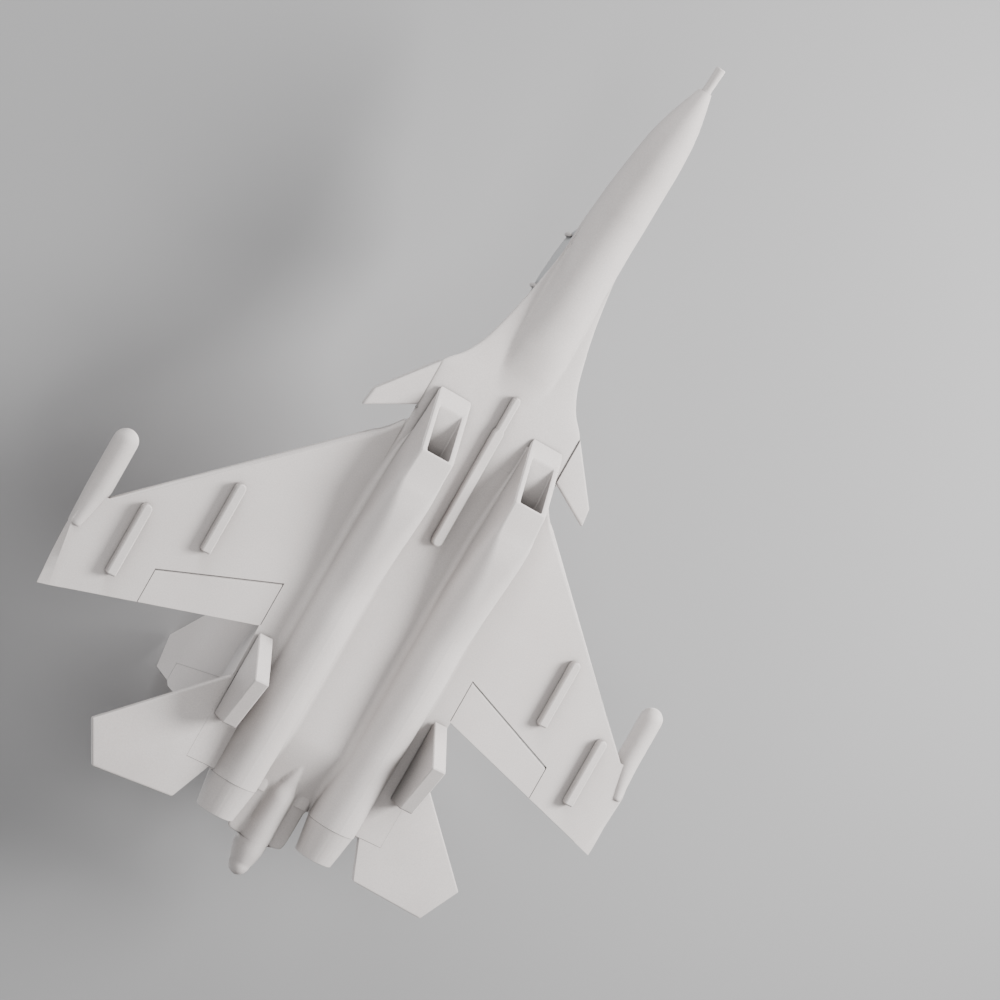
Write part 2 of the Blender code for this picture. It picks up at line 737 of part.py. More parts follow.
# Tail of the tip body: station, outer side, underside, top, squareness
POD_TAIL = ((0.2020, 0.3630, 0.0520, 0.0788, 2.2), (0.2220, 0.3632, 0.0528, 0.0725, 2.8),
            (TIP_FRONT_Y - GAP, 0.3633, 0.0545, 0.0640, 5.0))


def build_pod():
    """Round wing tip body whose tail flattens until it meets the wedge behind it."""
    rings = []
    for share in (0.05, 0.3, 0.65, 1.0):
        swell = POD_RADIUS * math.sqrt(1.0 - (1.0 - share) ** 2)
        rings.append(squared_ring(POD_NOSE_Y + POD_RADIUS * share, POD_X, POD_Z, swell, swell, 2.0, 0.0, 20))
    rings.append(squared_ring(0.190, POD_X, POD_Z, POD_RADIUS, POD_RADIUS, 2.0, 0.0, 20))
    inner = TIP_X + 2 * GAP
    for y, outer, low, high, square in POD_TAIL:
        rings.append(squared_ring(y, (inner + outer) / 2.0, (low + high) / 2.0, (outer - inner) / 2.0,
                                  (high - low) / 2.0, square, 0.0, 20))
    return moulded(loft("wingtip_pod_port", rings))


PYLON_WIDTH = 0.0112
PYLON_DEPTH = 0.0105


def build_pylon(name, x, front, back):
    """A straight store rail under the wing: round nose, square tail."""
    half = PYLON_WIDTH / 2.0
    nose = [(x + half * math.sin(angle), front + half * (1.0 - math.cos(angle)))
            for angle in frange(-math.pi / 2, math.pi / 2, 7)]
    outline = nose + [(x + half, back), (x - half, back)]
    rail = plate(name, outline, "Z", PYLON_DEPTH, 0.0018)
    rail.data.transform(Matrix.Translation((0.0, 0.0, WING_Z - GAP - PYLON_DEPTH / 2.0)))
    return moulded(rail)


RAIL_FRONT_Y = -0.0950
RAIL_BACK_Y = 0.0860


def build_belly_rail():
    """Centreline keel rail: a thin front length and a wider rear length with rounded ends."""
    slim = 0.0045
    full = 0.0062
    front = [(slim * math.sin(angle), RAIL_FRONT_Y + slim * (1.0 - math.cos(angle)))
             for angle in frange(-math.pi / 2, math.pi / 2, 7)]
    back = [(full * math.cos(angle), RAIL_BACK_Y - full + full * math.sin(angle))
            for angle in frange(0.0, math.pi, 7)]
    outline = front + [(slim, -0.056), (full, -0.052)] + back + [(-full, -0.052), (-slim, -0.056)]
    rail = plate("belly_rail", outline, "Z", 0.0085, 0.0016)
    rail.data.transform(Matrix.Translation((0.0, 0.0, 0.0461)))
    return moulded(rail)


# canards and tail

def build_canard(shells):
    outline = [(CANARD_ROOT_X, -0.0892), (0.1450, -0.0290), (0.1480, -0.0080), (CANARD_ROOT_X, -0.0360)]
    canard = plate("canard_port", outline, "Z", CANARD_THICKNESS, 0.0016)
    canard.data.transform(Matrix.Translation((0.0, 0.0, CANARD_Z)))
    moulded(canard)
    start = (0.0640, CANARD_PIVOT_Y, CANARD_Z)
    end = (0.1080, CANARD_PIVOT_Y, CANARD_Z)
    bore = cylinder_between("canard_bore_port", (0.0500, CANARD_PIVOT_Y, CANARD_Z),
                            (0.1083, CANARD_PIVOT_Y, CANARD_Z), SHAFT_RADIUS + GAP, CUTTERS)
    set_pivot(canard, (CANARD_ROOT_X, CANARD_PIVOT_Y, CANARD_Z))
    cut(canard, bore)
    bore_starboard = cylinder_between("canard_bore_starboard", (-0.0500, CANARD_PIVOT_Y, CANARD_Z),
                                      (-0.1083, CANARD_PIVOT_Y, CANARD_Z), SHAFT_RADIUS + GAP, CUTTERS)
    low = Vector(CANARD_SERVO_LOW) - Vector((GAP, GAP, GAP))
    high = Vector(CANARD_SERVO_HIGH) + Vector((GAP, GAP, GAP))
    pocket = block("canard_pocket_port", low, high, CUTTERS)
    pocket_starboard = block("canard_pocket_starboard", (-high.x, low.y, low.z),
                             (-low.x, high.y, high.z), CUTTERS)
    for shell in shells:
        for cutter in (bore, bore_starboard, pocket, pocket_starboard):
            cut(shell, cutter)
    shaft = cylinder_between("canard_shaft_port", start, end, SHAFT_RADIUS, PARTS)
    set_pivot(shaft, start)
    shade(shaft)
    finish_material(shaft, STEEL, 0.3, 1.0)
    return canard, shaft


def build_stabilator():
    root = BOOM_OUTER_X + 0.0012
    outline = [(root, 0.3060), (0.2380, 0.4100), (0.2120, 0.4550), (0.1180, 0.4490), (0.0980, 0.4030),
               (root, 0.4030)]
    stab = plate("stabilator_port", outline, "Z", STAB_THICKNESS, 0.0018)
    stab.data.transform(Matrix.Translation((0.0, 0.0, STAB_Z)))
    moulded(stab)
    start = (0.1106, STAB_PIVOT_Y, STAB_Z)
    end = (0.1500, STAB_PIVOT_Y, STAB_Z)
    bore = cylinder_between("stabilator_bore_port", (0.1000, STAB_PIVOT_Y, STAB_Z),
                            (0.1503, STAB_PIVOT_Y, STAB_Z), SHAFT_RADIUS + GAP, CUTTERS)
    set_pivot(stab, (root, STAB_PIVOT_Y, STAB_Z))
    cut(stab, bore)
    shaft = cylinder_between("stabilator_shaft_port", start, end, SHAFT_RADIUS, PARTS)
    set_pivot(shaft, start)
    shade(shaft)
    finish_material(shaft, STEEL, 0.3, 1.0)
    return stab, shaft, bore


FIN_START_Y = 0.1890
FIN_FOOT_Y = 0.2446
RUDDER_BACK_Y = 0.3674
RUDDER_LOW_Z = 0.0850
RUDDER_HIGH_Z = 0.2110


def rudder_hinge(z):
    """Hinge line of the rudder, which leans aft with height."""
    return Vector((FIN_X, 0.3190 + (z - RUDDER_LOW_Z) * 0.188, z))


def boom_top(y):
    return WING_Z + 0.0120 + 0.0100 * ease((y - 0.2480) / 0.030)


def build_boom():
    """Tail boom beside the nacelle: it carries the fin, the ventral fin and the stabilator shaft."""
    rings = []
    inner_x = ROOT_X
    for y in (0.2482, 0.2560, 0.2640, 0.2720, 0.2790, 0.3300, BOOM_END_Y):
        low = WING_Z - 0.004 * ease((y - 0.2480) / 0.02)
        high = boom_top(y) - 0.006 * ease((y - 0.36) / 0.04)
        ring = [(inner_x, y, low), (BOOM_OUTER_X - 0.002, y, low), (BOOM_OUTER_X, y, low + 0.002),
                (BOOM_OUTER_X, y, high - 0.002), (BOOM_OUTER_X - 0.002, y, high), (inner_x, y, high)]
        if not rings:
            ring = [(x, trailing_y(x) + 2 * GAP, z) for x, y, z in ring]
        rings.append(ring)
    boom = moulded(loft("tail_boom_port", rings))
    shade(boom, 20.0)
    return boom


def build_tail_servos(boom):
    low = (0.0985, 0.3500, 0.0528)
    high = (0.1100, 0.3740, 0.0708)
    pocket = block("stabilator_pocket_port", [value - GAP for value in low],
                   (high[0] + GAP, high[1] + GAP, 0.09), CUTTERS)
    cut(boom, pocket)
    stab_servo = block("stabilator_servo_port", low, high, None, 0.0006)
    finish_material(stab_servo, BLACK, 0.4, 0.0)
    low = (0.1115, 0.2990, 0.0520)
    high = (0.1228, 0.3220, 0.0660)
    pocket = block("rudder_pocket_port", (low[0] - GAP, low[1] - GAP, 0.045),
                   (high[0] + GAP, high[1] + GAP, high[2] + GAP), CUTTERS)
    cut(boom, pocket)
    rudder_servo = block("rudder_servo_port", low, high, None, 0.0006)
    finish_material(rudder_servo, BLACK, 0.4, 0.0)
    return stab_servo, rudder_servo


def build_fin(boom):
    """Fixed fin with the rudder's opening, its own rudder, and the rudder's drive pin."""
    low = rudder_hinge(RUDDER_LOW_Z)
    high = rudder_hinge(RUDDER_HIGH_Z)
    lead = RUDDER_GAP + 0.0024
    foot = FIN_FOOT_Y
    base = [(y, boom_top(y) + GAP) for y in (0.3550, 0.3300, 0.2790, 0.2720, 0.2640, 0.2560, foot)]
    base += [(y, wing_top(FIN_X, y) + 2 * GAP) for y in (foot, FIN_START_Y)]
    outline = [(0.2830, 0.2120), (0.3243, 0.2710), (0.3610, 0.2590),
               (0.3630, RUDDER_HIGH_Z + 0.0016), (high.y - lead, RUDDER_HIGH_Z + 0.0016),
               (low.y - lead, RUDDER_LOW_Z - RUDDER_GAP), (RUDDER_BACK_Y, RUDDER_LOW_Z - RUDDER_GAP)] + base
    fin = plate("fin_port", outline, "X", FIN_THICKNESS, 0.0012)
    fin.data.transform(Matrix.Translation((FIN_X, 0.0, 0.0)))
    moulded(fin)

    radius = 0.0024
    rings = []
    for z in (RUDDER_LOW_Z, 0.1435, 0.2020, RUDDER_HIGH_Z):
        hinge = rudder_hinge(z)
        ring = []
        for index in range(7):
            angle = math.pi * (0.5 + index / 6.0)
            ring.append((FIN_X + radius * math.sin(angle), hinge.y + radius * math.cos(angle), z))
        back = RUDDER_BACK_Y - 0.4 * max(z - 0.2020, 0.0)
        ring.append((FIN_X - 0.0012, back, z))
        ring.append((FIN_X + 0.0012, back, z))
        rings.append(ring)
    blade = loft("rudder_port", rings)
    pin_top = rudder_hinge(RUDDER_LOW_Z + 0.010)
    pin_low = rudder_hinge(0.0664)
    pin = cylinder_between("rudder_pin", pin_low, pin_top, 0.0012, PARTS, 12)
    rudder = moulded(joined(blade, pin))
    shade(rudder, 20.0)
    set_pivot(rudder, low)
    bore = cylinder_between("rudder_bore_port", rudder_hinge(0.0600), rudder_hinge(RUDDER_LOW_Z + 0.002),
                            0.0012 + GAP, CUTTERS, 12)
    cut(fin, bore)
    cut(boom, bore)
    return fin, rudder


def build_ventral_fin():
    top = WING_Z - 0.004 - GAP
    outline = [(0.2520, top), (0.2920, -0.00040), (0.3505, 0.0213), (0.3505, top)]
    fin = plate("ventral_fin_port", outline, "X", 0.0175, 0.0012)
    fin.data.transform(Matrix.Translation((0.1148, 0.0, 0.0)))
    return moulded(fin)


def build_stinger():
    """Beaver tail between the nozzles, drawn out into the round tail cone."""
    rows = ((0.4061, 0.0355, 0.0095, 0.0165, 0.0765), (0.4250, 0.0360, 0.0090, 0.0172, 0.0780),
            (0.4440, 0.0360, 0.0082, 0.0178, 0.0790), (0.4520, 0.0352, 0.0076, 0.0178, 0.0795),
            (0.4565, 0.0310, 0.0068, 0.0178, 0.0798), (0.4585, 0.0182, 0.0060, 0.0178, 0.0800),
            (0.4700, 0.0174, 0.0040, 0.0173, 0.0805), (0.4800, 0.0148, 0.0030, 0.0147, 0.0800),
            (0.4880, 0.0115, 0.0020, 0.0114, 0.0790), (0.4960, 0.0068, 0.0010, 0.0067, 0.0780),
            (HALF_LENGTH, 0.0020, 0.0003, 0.0019, 0.0775))
    rings = []
    for y, wide, thick, radius, height in rows:
        upper = []
        lower = []
        for index in range(11):
            angle = math.pi * (index / 10.0 - 0.5)
            x = wide * math.sin(angle)
            swell = smooth_max(dome(x, radius, radius), dome(x, wide, thick / 2.0), 0.3 * thick)
            at_end = index in (0, 10)
            upper.append((x, y, height + (0.0 if at_end else swell)))
            lower.append((x, y, height - (0.0 if at_end else swell)))
        rings.append(upper + lower[-2:0:-1])
    return moulded(loft("tail_stinger", rings))


# equipment

def build_equipment():
    tray = block("battery_tray", (-0.0200, -0.200, 0.0572), (0.0200, -0.060, 0.0590), None, 0.0004)
    finish_material(tray, (0.55, 0.42, 0.28, 1.0), 0.7, 0.0)
    battery = block("battery", (-0.0170, -0.195, 0.0593), (0.0170, -0.090, 0.0840), None, 0.0020)
    finish_material(battery, (0.02, 0.05, 0.16, 1.0), 0.4, 0.0)
    receiver = block("receiver", (-0.0110, 0.0200, 0.0560), (0.0110, 0.0560, 0.0680), None, 0.0010)
    finish_material(receiver, BLACK, 0.35, 0.0)
    controller = block("speed_controller_port", (0.0030, 0.0900, 0.0560), (0.0280, 0.1400, 0.0640),
                       None, 0.0010)
    finish_material(controller, (0.02, 0.02, 0.02, 1.0), 0.4, 0.0)
    servo = block("canard_servo_port", CANARD_SERVO_LOW, CANARD_SERVO_HIGH, None, 0.0005)
    finish_material(servo, BLACK, 0.4, 0.0)
    return controller, servo


def starboard_copy(item):
    copy = mirrored(item, item.name.replace("_port", "_starboard"))
    if item.data.materials:
        source = item.data.materials[0].node_tree.nodes["Principled BSDF"].inputs
        finish_material(copy, tuple(source["Base Color"].default_value), source["Roughness"].default_value,
                        source["Metallic"].default_value)
    return copy


def main():
    build_nose()
    top, belly = build_front_shells()
    build_canopy(top)
    build_deck()
    build_floor()
    build_nacelle()
    build_nozzle()
    build_fan()
    build_wing()
    build_flaperon()
    build_pod()
    build_pylon("inner_pylon_port", 0.2220, 0.1233, 0.2043)
    build_pylon("outer_pylon_port", 0.3000, 0.1865, 0.2690)
    build_belly_rail()
    build_canard((top, belly))
    boom = build_boom()
    build_tail_servos(boom)
    stab_bore = build_stabilator()[2]
    cut(boom, stab_bore)
    build_fin(boom)
    build_ventral_fin()
    build_stinger()
    build_equipment()
    for item in list(PARTS.objects):
        if item.name.endswith("_port"):
            starboard_copy(item)


clear_scene()
PARTS = new_collection("rc_jet_plane")
CUTTERS = new_collection("cutters")
main()
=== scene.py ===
import math

import bmesh
import bpy
from mathutils import Matrix, Vector


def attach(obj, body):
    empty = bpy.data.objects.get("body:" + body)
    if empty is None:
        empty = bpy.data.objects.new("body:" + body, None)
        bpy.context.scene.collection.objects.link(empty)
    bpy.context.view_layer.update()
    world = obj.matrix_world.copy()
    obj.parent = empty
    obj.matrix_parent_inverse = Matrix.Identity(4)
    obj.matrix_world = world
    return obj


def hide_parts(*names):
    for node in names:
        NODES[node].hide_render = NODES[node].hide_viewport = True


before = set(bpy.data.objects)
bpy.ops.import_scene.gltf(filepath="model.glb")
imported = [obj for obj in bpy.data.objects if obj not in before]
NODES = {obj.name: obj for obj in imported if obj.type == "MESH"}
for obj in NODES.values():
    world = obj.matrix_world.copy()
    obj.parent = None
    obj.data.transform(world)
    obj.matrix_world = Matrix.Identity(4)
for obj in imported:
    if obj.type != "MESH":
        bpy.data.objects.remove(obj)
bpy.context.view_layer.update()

# Shared dimensions of the airframe, metres
HALF_LENGTH = 0.500
WING_Z = 0.055
BELLY_Z = 0.052
DUCT_X = 0.0640
MID_SEAM_Y = -0.020
NOSE_SEAM_Y = -0.310
NOZZLE_SEAM_Y = 0.4055
NOZZLE_END_Y = 0.4448
ROOT_X = 0.0958
BODY_SIDE_X = 0.0935
FLOOR_CLIMB = 0.0197
DECK_CORE_Z = 0.0750
TRAILING_SLOPE = 0.2677
STAB_Z = 0.0560
STAB_SHAFT_Y = 0.362
CANARD_Z = 0.0580
INTAKE_LIP_Y = -0.0670
TUNNEL_HALF = 0.0385
TUNNEL_RIDGE = 0.0165
BOOM_INNER_X = 0.0900
BOOM_OUTER_X = 0.1261
BOOM_END_RADIUS = 0.0407
STRAKE_END_Y = 0.03
SIDES = (("port", 1.0), ("starboard", -1.0))

# Nose: station, centre height, radius
NOSE = ((-0.4700, 0.0172, 0.0076), (-0.4500, 0.0215, 0.0138), (-0.4300, 0.0258, 0.0193),
        (-0.4100, 0.0305, 0.0233), (-0.3800, 0.0362, 0.0264), (-0.3500, 0.0425, 0.0284),
        (-0.3200, 0.0475, 0.0300), (-0.2900, 0.0520, 0.0310))

# Forward body: station, plan half width, body half width, keel height, crown height, seam height
BODY = ((-0.3100, 0.0304, 0.0304, 0.0190, 0.0795, 0.0490),
        (-0.2900, 0.0312, 0.0310, 0.0212, 0.0830, 0.0520),
        (-0.2600, 0.0342, 0.0315, 0.0238, 0.0880, 0.0535),
        (-0.2300, 0.0385, 0.0318, 0.0265, 0.0930, 0.0548),
        (-0.1900, 0.0460, 0.0320, 0.0310, 0.0985, 0.0560),
        (-0.1500, 0.0565, 0.0320, 0.0375, 0.1020, 0.0565),
        (-0.1300, 0.0635, 0.0315, 0.0425, 0.1030, 0.0565),
        (-0.1100, 0.0750, 0.0310, 0.0480, 0.1025, 0.0565),
        (-0.0890, 0.0932, 0.0305, 0.0512, 0.1015, 0.0565),
        (-0.0600, 0.0935, 0.0300, 0.0518, 0.1000, 0.0565),
        (-0.0200, 0.0935, 0.0300, 0.0520, 0.0980, 0.0565))

# Spine behind the middle seam: station, half width, crown height
SPINE = ((-0.0200, 0.0300, 0.0980), (0.1000, 0.0290, 0.0950), (0.2000, 0.0270, 0.0935),
         (0.3000, 0.0240, 0.0920), (0.4060, 0.0200, 0.0890))

# Engine nacelle: roof station, centre x, centre height, half width, half height, corner radius, lip sweep
NACELLE = ((-0.0670, 0.0620, 0.0323, 0.0211, 0.0192, 0.0030, 0.0690),
           (-0.0300, 0.0630, 0.0322, 0.0225, 0.0192, 0.0040, 0.0600),
           (0.0150, 0.0638, 0.0345, 0.0255, 0.0225, 0.0100, 0.0340),
           (0.0600, 0.0640, 0.0385, 0.0276, 0.0262, 0.0180, 0.0120),
           (0.1200, 0.0640, 0.0455, 0.0285, 0.0285, 0.0262, 0.0),
           (0.1700, 0.0640, 0.0508, 0.0285, 0.0285, 0.0285, 0.0),
           (0.2150, 0.0640, 0.0508, 0.0285, 0.0285, 0.0285, 0.0),
           (0.3000, 0.0640, 0.0550, 0.0285, 0.0285, 0.0285, 0.0),
           (0.4052, 0.0640, 0.0590, 0.0280, 0.0280, 0.0280, 0.0))

# Duct inside it: roof station, side wall, roof wall, floor wall
DUCT = ((-0.0670, 0.0066, 0.0104, 0.0012),
        (-0.0300, 0.0056, 0.0088, 0.0016),
        (0.0150, 0.0042, 0.0060, 0.0024),
        (0.0600, 0.0036, 0.0045, 0.0028),
        (0.1200, 0.0030, 0.0032, 0.0028),
        (0.1700, 0.0026, 0.0026, 0.0026),
        (0.4052, 0.0026, 0.0026, 0.0026))

# Canopy: station, half width, crown height
CANOPY = ((-0.2990, 0.0050, 0.0822), (-0.2920, 0.0150, 0.0930), (-0.2750, 0.0240, 0.1130),
          (-0.2550, 0.0260, 0.1210), (-0.2350, 0.0266, 0.1255), (-0.2150, 0.0268, 0.1280),
          (-0.1950, 0.0252, 0.1262), (-0.1780, 0.0214, 0.1205), (-0.1640, 0.0155, 0.1120),
          (-0.1540, 0.0090, 0.1050), (-0.1480, 0.0030, 0.1022))


# Beaver tail: station, half width, flange thickness, body radius, height
STINGER = ((0.4061, 0.0355, 0.0095, 0.0165, 0.0765), (0.4250, 0.0360, 0.0090, 0.0172, 0.0780),
           (0.4440, 0.0360, 0.0082, 0.0178, 0.0790), (0.4520, 0.0352, 0.0076, 0.0178, 0.0795),
           (0.4565, 0.0310, 0.0068, 0.0178, 0.0798), (0.4585, 0.0182, 0.0060, 0.0178, 0.0800),
           (0.4700, 0.0174, 0.0040, 0.0173, 0.0805), (0.4800, 0.0148, 0.0030, 0.0147, 0.0800),
           (0.4880, 0.0115, 0.0020, 0.0114, 0.0790), (0.4960, 0.0068, 0.0010, 0.0067, 0.0780),
           (HALF_LENGTH, 0.0020, 0.0003, 0.0019, 0.0775))

# Wing tip body and the cut behind it
TIP_BODY_X = 0.3493
TIP_BODY_RADIUS = 0.0135
TIP_BODY_LOW_Z = 0.0520
TIP_OUTER_X = 0.3628
TIP_TAPER_Y = 0.1960
TIP_BODY_END_Y = 0.2420
TIP_CUT_X = 0.3395

# Fin and rudder
FIN_X = 0.1205
FIN_HALF = 0.0035
RUDDER_LOW_Z = 0.0850
RUDDER_HIGH_Z = 0.2110
RUDDER_BACK_Y = 0.3674
RUDDER_NOSE = 0.0034

# Forward body's thin side shelf: height above and below the seam, growth, edge rounding
SHELF_TOP = 0.0055
SHELF_LOW = 0.0045
SHELF_GROWTH = 0.012
EDGE_ROUND = 0.0012


# ---- small mathematics

def ease(fraction):
    fraction = min(max(fraction, 0.0), 1.0)
    return fraction * fraction * (3.0 - 2.0 * fraction)


def frange(start, end, count):
    return [start + (end - start) * index / (count - 1) for index in range(count)]


def half_turn(count):
    """Angles from -90 to 90 degrees."""
    return [math.pi * (index / (count - 1.0) - 0.5) for index in range(count)]


def full_turn(count):
    return [2.0 * math.pi * index / count for index in range(count)]


def along(table, y, column):
    """Smooth value of one column of a station table at y."""
    if y <= table[0][0]:
        return table[0][column]
    if y >= table[-1][0]:
        return table[-1][column]
    index = max(i for i, row in enumerate(table) if row[0] <= y)
    index = min(index, len(table) - 2)

    def slope(i):
        low = table[max(i - 1, 0)]
        high = table[min(i + 1, len(table) - 1)]
        return (high[column] - low[column]) / (high[0] - low[0])

    first = table[index]
    second = table[index + 1]
    span = second[0] - first[0]
    t = (y - first[0]) / span
    a = 2 * t ** 3 - 3 * t ** 2 + 1
    b = t ** 3 - 2 * t ** 2 + t
    c = -2 * t ** 3 + 3 * t ** 2
    d = t ** 3 - t ** 2
    return (a * first[column] + b * span * slope(index)
            + c * second[column] + d * span * slope(index + 1))


def smooth_max(first, second, reach):
    """The larger value, with a rounded change-over where the two are within reach."""
    if reach <= 0.0:
        return max(first, second)
    closeness = max(reach - abs(first - second), 0.0) / reach
    return max(first, second) + closeness * closeness * reach / 4.0


def dome(offset, half_width, height, square=2.0):
    """Height of a rounded hump, falling steeply outside its half width."""
    ratio = min(abs(offset) / half_width, 1.0)
    return height * (1.0 - ratio ** square) ** (1.0 / square) - 3.0 * max(abs(offset) - half_width, 0.0)


# ---- surfaces of the airframe

def body_half(y):
    return min(along(BODY, y, 1), BODY_SIDE_X)


def body_top(x, y):
    if y < NOSE_SEAM_Y:
        height, radius = along(NOSE, y, 1), along(NOSE, y, 2)
        return height + math.sqrt(max(radius * radius - x * x, 0.0))
    half = body_half(y)
    body, crown, seam = (along(BODY, y, column) for column in (2, 4, 5))
    shelf = SHELF_TOP * ease((half - body) / SHELF_GROWTH)
    reach = min(0.020, 1.6 * max(half - body, 0.0))
    lift = smooth_max(dome(x, body, crown - seam), dome(x, half, shelf, 4.0), reach)
    return seam + lift * ease((half - abs(x)) / EDGE_ROUND) ** 0.25


def body_low(x, y):
    if y < NOSE_SEAM_Y:
        height, radius = along(NOSE, y, 1), along(NOSE, y, 2)
        return height - math.sqrt(max(radius * radius - x * x, 0.0))
    half = body_half(y)
    body, keel, seam = (along(BODY, y, column) for column in (2, 3, 5))
    shelf = SHELF_LOW * ease((half - body) / SHELF_GROWTH)
    reach = min(0.014, 1.2 * max(half - body, 0.0), max(seam - keel - shelf, 0.0))
    drop = smooth_max(dome(x, body, seam - keel), dome(x, half, shelf), reach)
    return seam - drop * ease((half - abs(x)) / EDGE_ROUND) ** 0.25


def deck_top(x, y):
    half = ROOT_X
    grow = ease((y - MID_SEAM_Y) / 0.14)
    spine = dome(x, along(SPINE, y, 1), along(SPINE, y, 2) - WING_Z)
    shelf = dome(x, half, 0.0070 + 0.0120 * grow, 4.0 - 2.0 * grow)
    duct_roof = along(NACELLE, y, 2) + along(NACELLE, y, 4) + 0.0039 - WING_Z
    bulge = dome(abs(x) - DUCT_X, 0.0312, max(duct_roof, 0.0))
    return WING_Z + smooth_max(spine, smooth_max(shelf, bulge, 0.010), 0.016)


def section(y, walls=None):
    """One ring of the nacelle, port side: a rectangle with round corners, raked by the lip sweep.

    walls are the side, roof and floor walls that bring the ring inside the outer skin.
    """
    per_corner = 12
    centre, height, wide, tall, corner, sweep = (along(NACELLE, y, column) for column in range(1, 7))
    low = height - tall
    high = height + tall
    half = wide
    if walls:
        side_wall, roof_wall, floor_wall = walls
        half -= side_wall
        high -= roof_wall
        low += floor_wall
        corner = max(corner - max(side_wall, floor_wall), 0.0016)
    corner = min(corner, half, (high - low) / 2.0)
    ring = []
    for quarter, (sx, sz) in enumerate(((1, 1), (-1, 1), (-1, -1), (1, -1))):
        cx = centre + sx * (half - corner)
        cz = (high - corner) if sz > 0 else (low + corner)
        for step in range(per_corner):
            angle = math.pi / 2.0 * (quarter + step / (per_corner - 1.0))
            x = cx + corner * math.cos(angle)
            z = cz + corner * math.sin(angle)
            lean = sweep * (height + tall - z) / (2.0 * tall)
            ring.append((x, y + lean, z))
    return ring


def duct_walls(y):
    return tuple(along(DUCT, y, column) for column in (1, 2, 3))


def nacelle_side(y, z):
    """Half width of the nacelle at height z."""
    height, wide, tall, corner = (along(NACELLE, y, column) for column in (2, 3, 4, 5))
    over = abs(z - height) - (tall - corner)
    if over <= 0.0:
        return wide
    return wide - corner + math.sqrt(max(corner * corner - over * over, 0.0))


# ---- mesh helpers

def new_mesh_object(name, bm, smooth_angle=40.0):
    bmesh.ops.recalc_face_normals(bm, faces=bm.faces)
    if bm.calc_volume(signed=True) < 0.0:
        bmesh.ops.reverse_faces(bm, faces=bm.faces)
    mesh = bpy.data.meshes.new(name)
    bm.to_mesh(mesh)
    bm.free()
    mesh.shade_smooth()
    mesh.set_sharp_from_angle(angle=math.radians(smooth_angle))
    item = bpy.data.objects.new(name, mesh)
    bpy.context.scene.collection.objects.link(item)
    return item


def loft(name, rings, wrap=False, smooth_angle=40.0, flip=1.0):
    """Skin of quads over closed rings of equal length; flip -1 mirrors it to the starboard side."""
    bm = bmesh.new()
    rows = [[bm.verts.new((point[0] * flip, point[1], point[2])) for point in ring] for ring in rings]
    pairs = list(zip(rows, rows[1:]))
    if wrap:
        pairs.append((rows[-1], rows[0]))
    for row, after in pairs:
        for index in range(len(row)):
            following = (index + 1) % len(row)
            bm.faces.new((row[index], row[following], after[following], after[index]))
    if not wrap:
        bm.faces.new(list(reversed(rows[0])))
        bm.faces.new(rows[-1])
    return new_mesh_object(name, bm, smooth_angle)


def baked(item):
    """Replace an object's mesh with its evaluated one and drop the modifiers."""
    bpy.context.view_layer.update()
    graph = bpy.context.evaluated_depsgraph_get()
    mesh = bpy.data.meshes.new_from_object(item.evaluated_get(graph))
    item.modifiers.clear()
    item.data = mesh
    return item


def cut(item, other):
    """Take the other object's volume out of a piece, and remove that object."""
    change = item.modifiers.new("bool", "BOOLEAN")
    change.operation = "DIFFERENCE"
    change.solver = "EXACT"
    change.object = other
    baked(item)
    bpy.data.objects.remove(other, do_unlink=True)
    return item


def softened(item, width, segments=3):
    """Round the hard edges of a piece."""
    edge = item.modifiers.new("edge", "BEVEL")
    edge.width = width
    edge.segments = segments
    edge.limit_method = "ANGLE"
    edge.angle_limit = math.radians(28.0)
    edge.use_clamp_overlap = True
    normal = item.modifiers.new("normals", "WEIGHTED_NORMAL")
    normal.keep_sharp = False
    normal.weight = 60
    return baked(item)


def prism(name, outline, low, high):
    bm = bmesh.new()
    floor = [bm.verts.new((x, y, low)) for x, y in outline]
    roof = [bm.verts.new((x, y, high)) for x, y in outline]
    bm.faces.new(floor[::-1])
    bm.faces.new(roof)
    for index in range(len(outline)):
        following = (index + 1) % len(outline)
        bm.faces.new((floor[index], floor[following], roof[following], roof[index]))
    return new_mesh_object(name, bm)


def trim_wing(bm, outward):
    """Cut a wing off at its tip body and thin the strake at its front."""
    everything = bm.verts[:] + bm.edges[:] + bm.faces[:]
    bmesh.ops.bisect_plane(bm, geom=everything, plane_co=(outward * TIP_CUT_X, 0.0, 0.0),
                           plane_no=(outward, 0.0, 0.0), clear_outer=True)
    bmesh.ops.holes_fill(bm, edges=[edge for edge in bm.edges if edge.is_boundary])
    for vertex in bm.verts:
        if vertex.co.y < STRAKE_END_Y and vertex.co.z > WING_Z + 0.004:
            share = 0.55 + 0.45 * ease((abs(vertex.co.x) - ROOT_X) / 0.025)
            vertex.co.z = WING_Z + (vertex.co.z - WING_Z) * share


def from_node(name, node, width, segments=3):
    """A softened high-detail copy of one flat-sided CAD sub-part."""
    bm = bmesh.new()
    bm.from_mesh(NODES[node].data)
    bmesh.ops.remove_doubles(bm, verts=bm.verts, dist=0.00002)
    bmesh.ops.dissolve_limit(bm, angle_limit=math.radians(3.0), verts=bm.verts, edges=bm.edges)
    if node.startswith("wing_"):
        trim_wing(bm, 1.0 if node.endswith("port") else -1.0)
    return softened(new_mesh_object(name, bm, 180.0), width, segments)


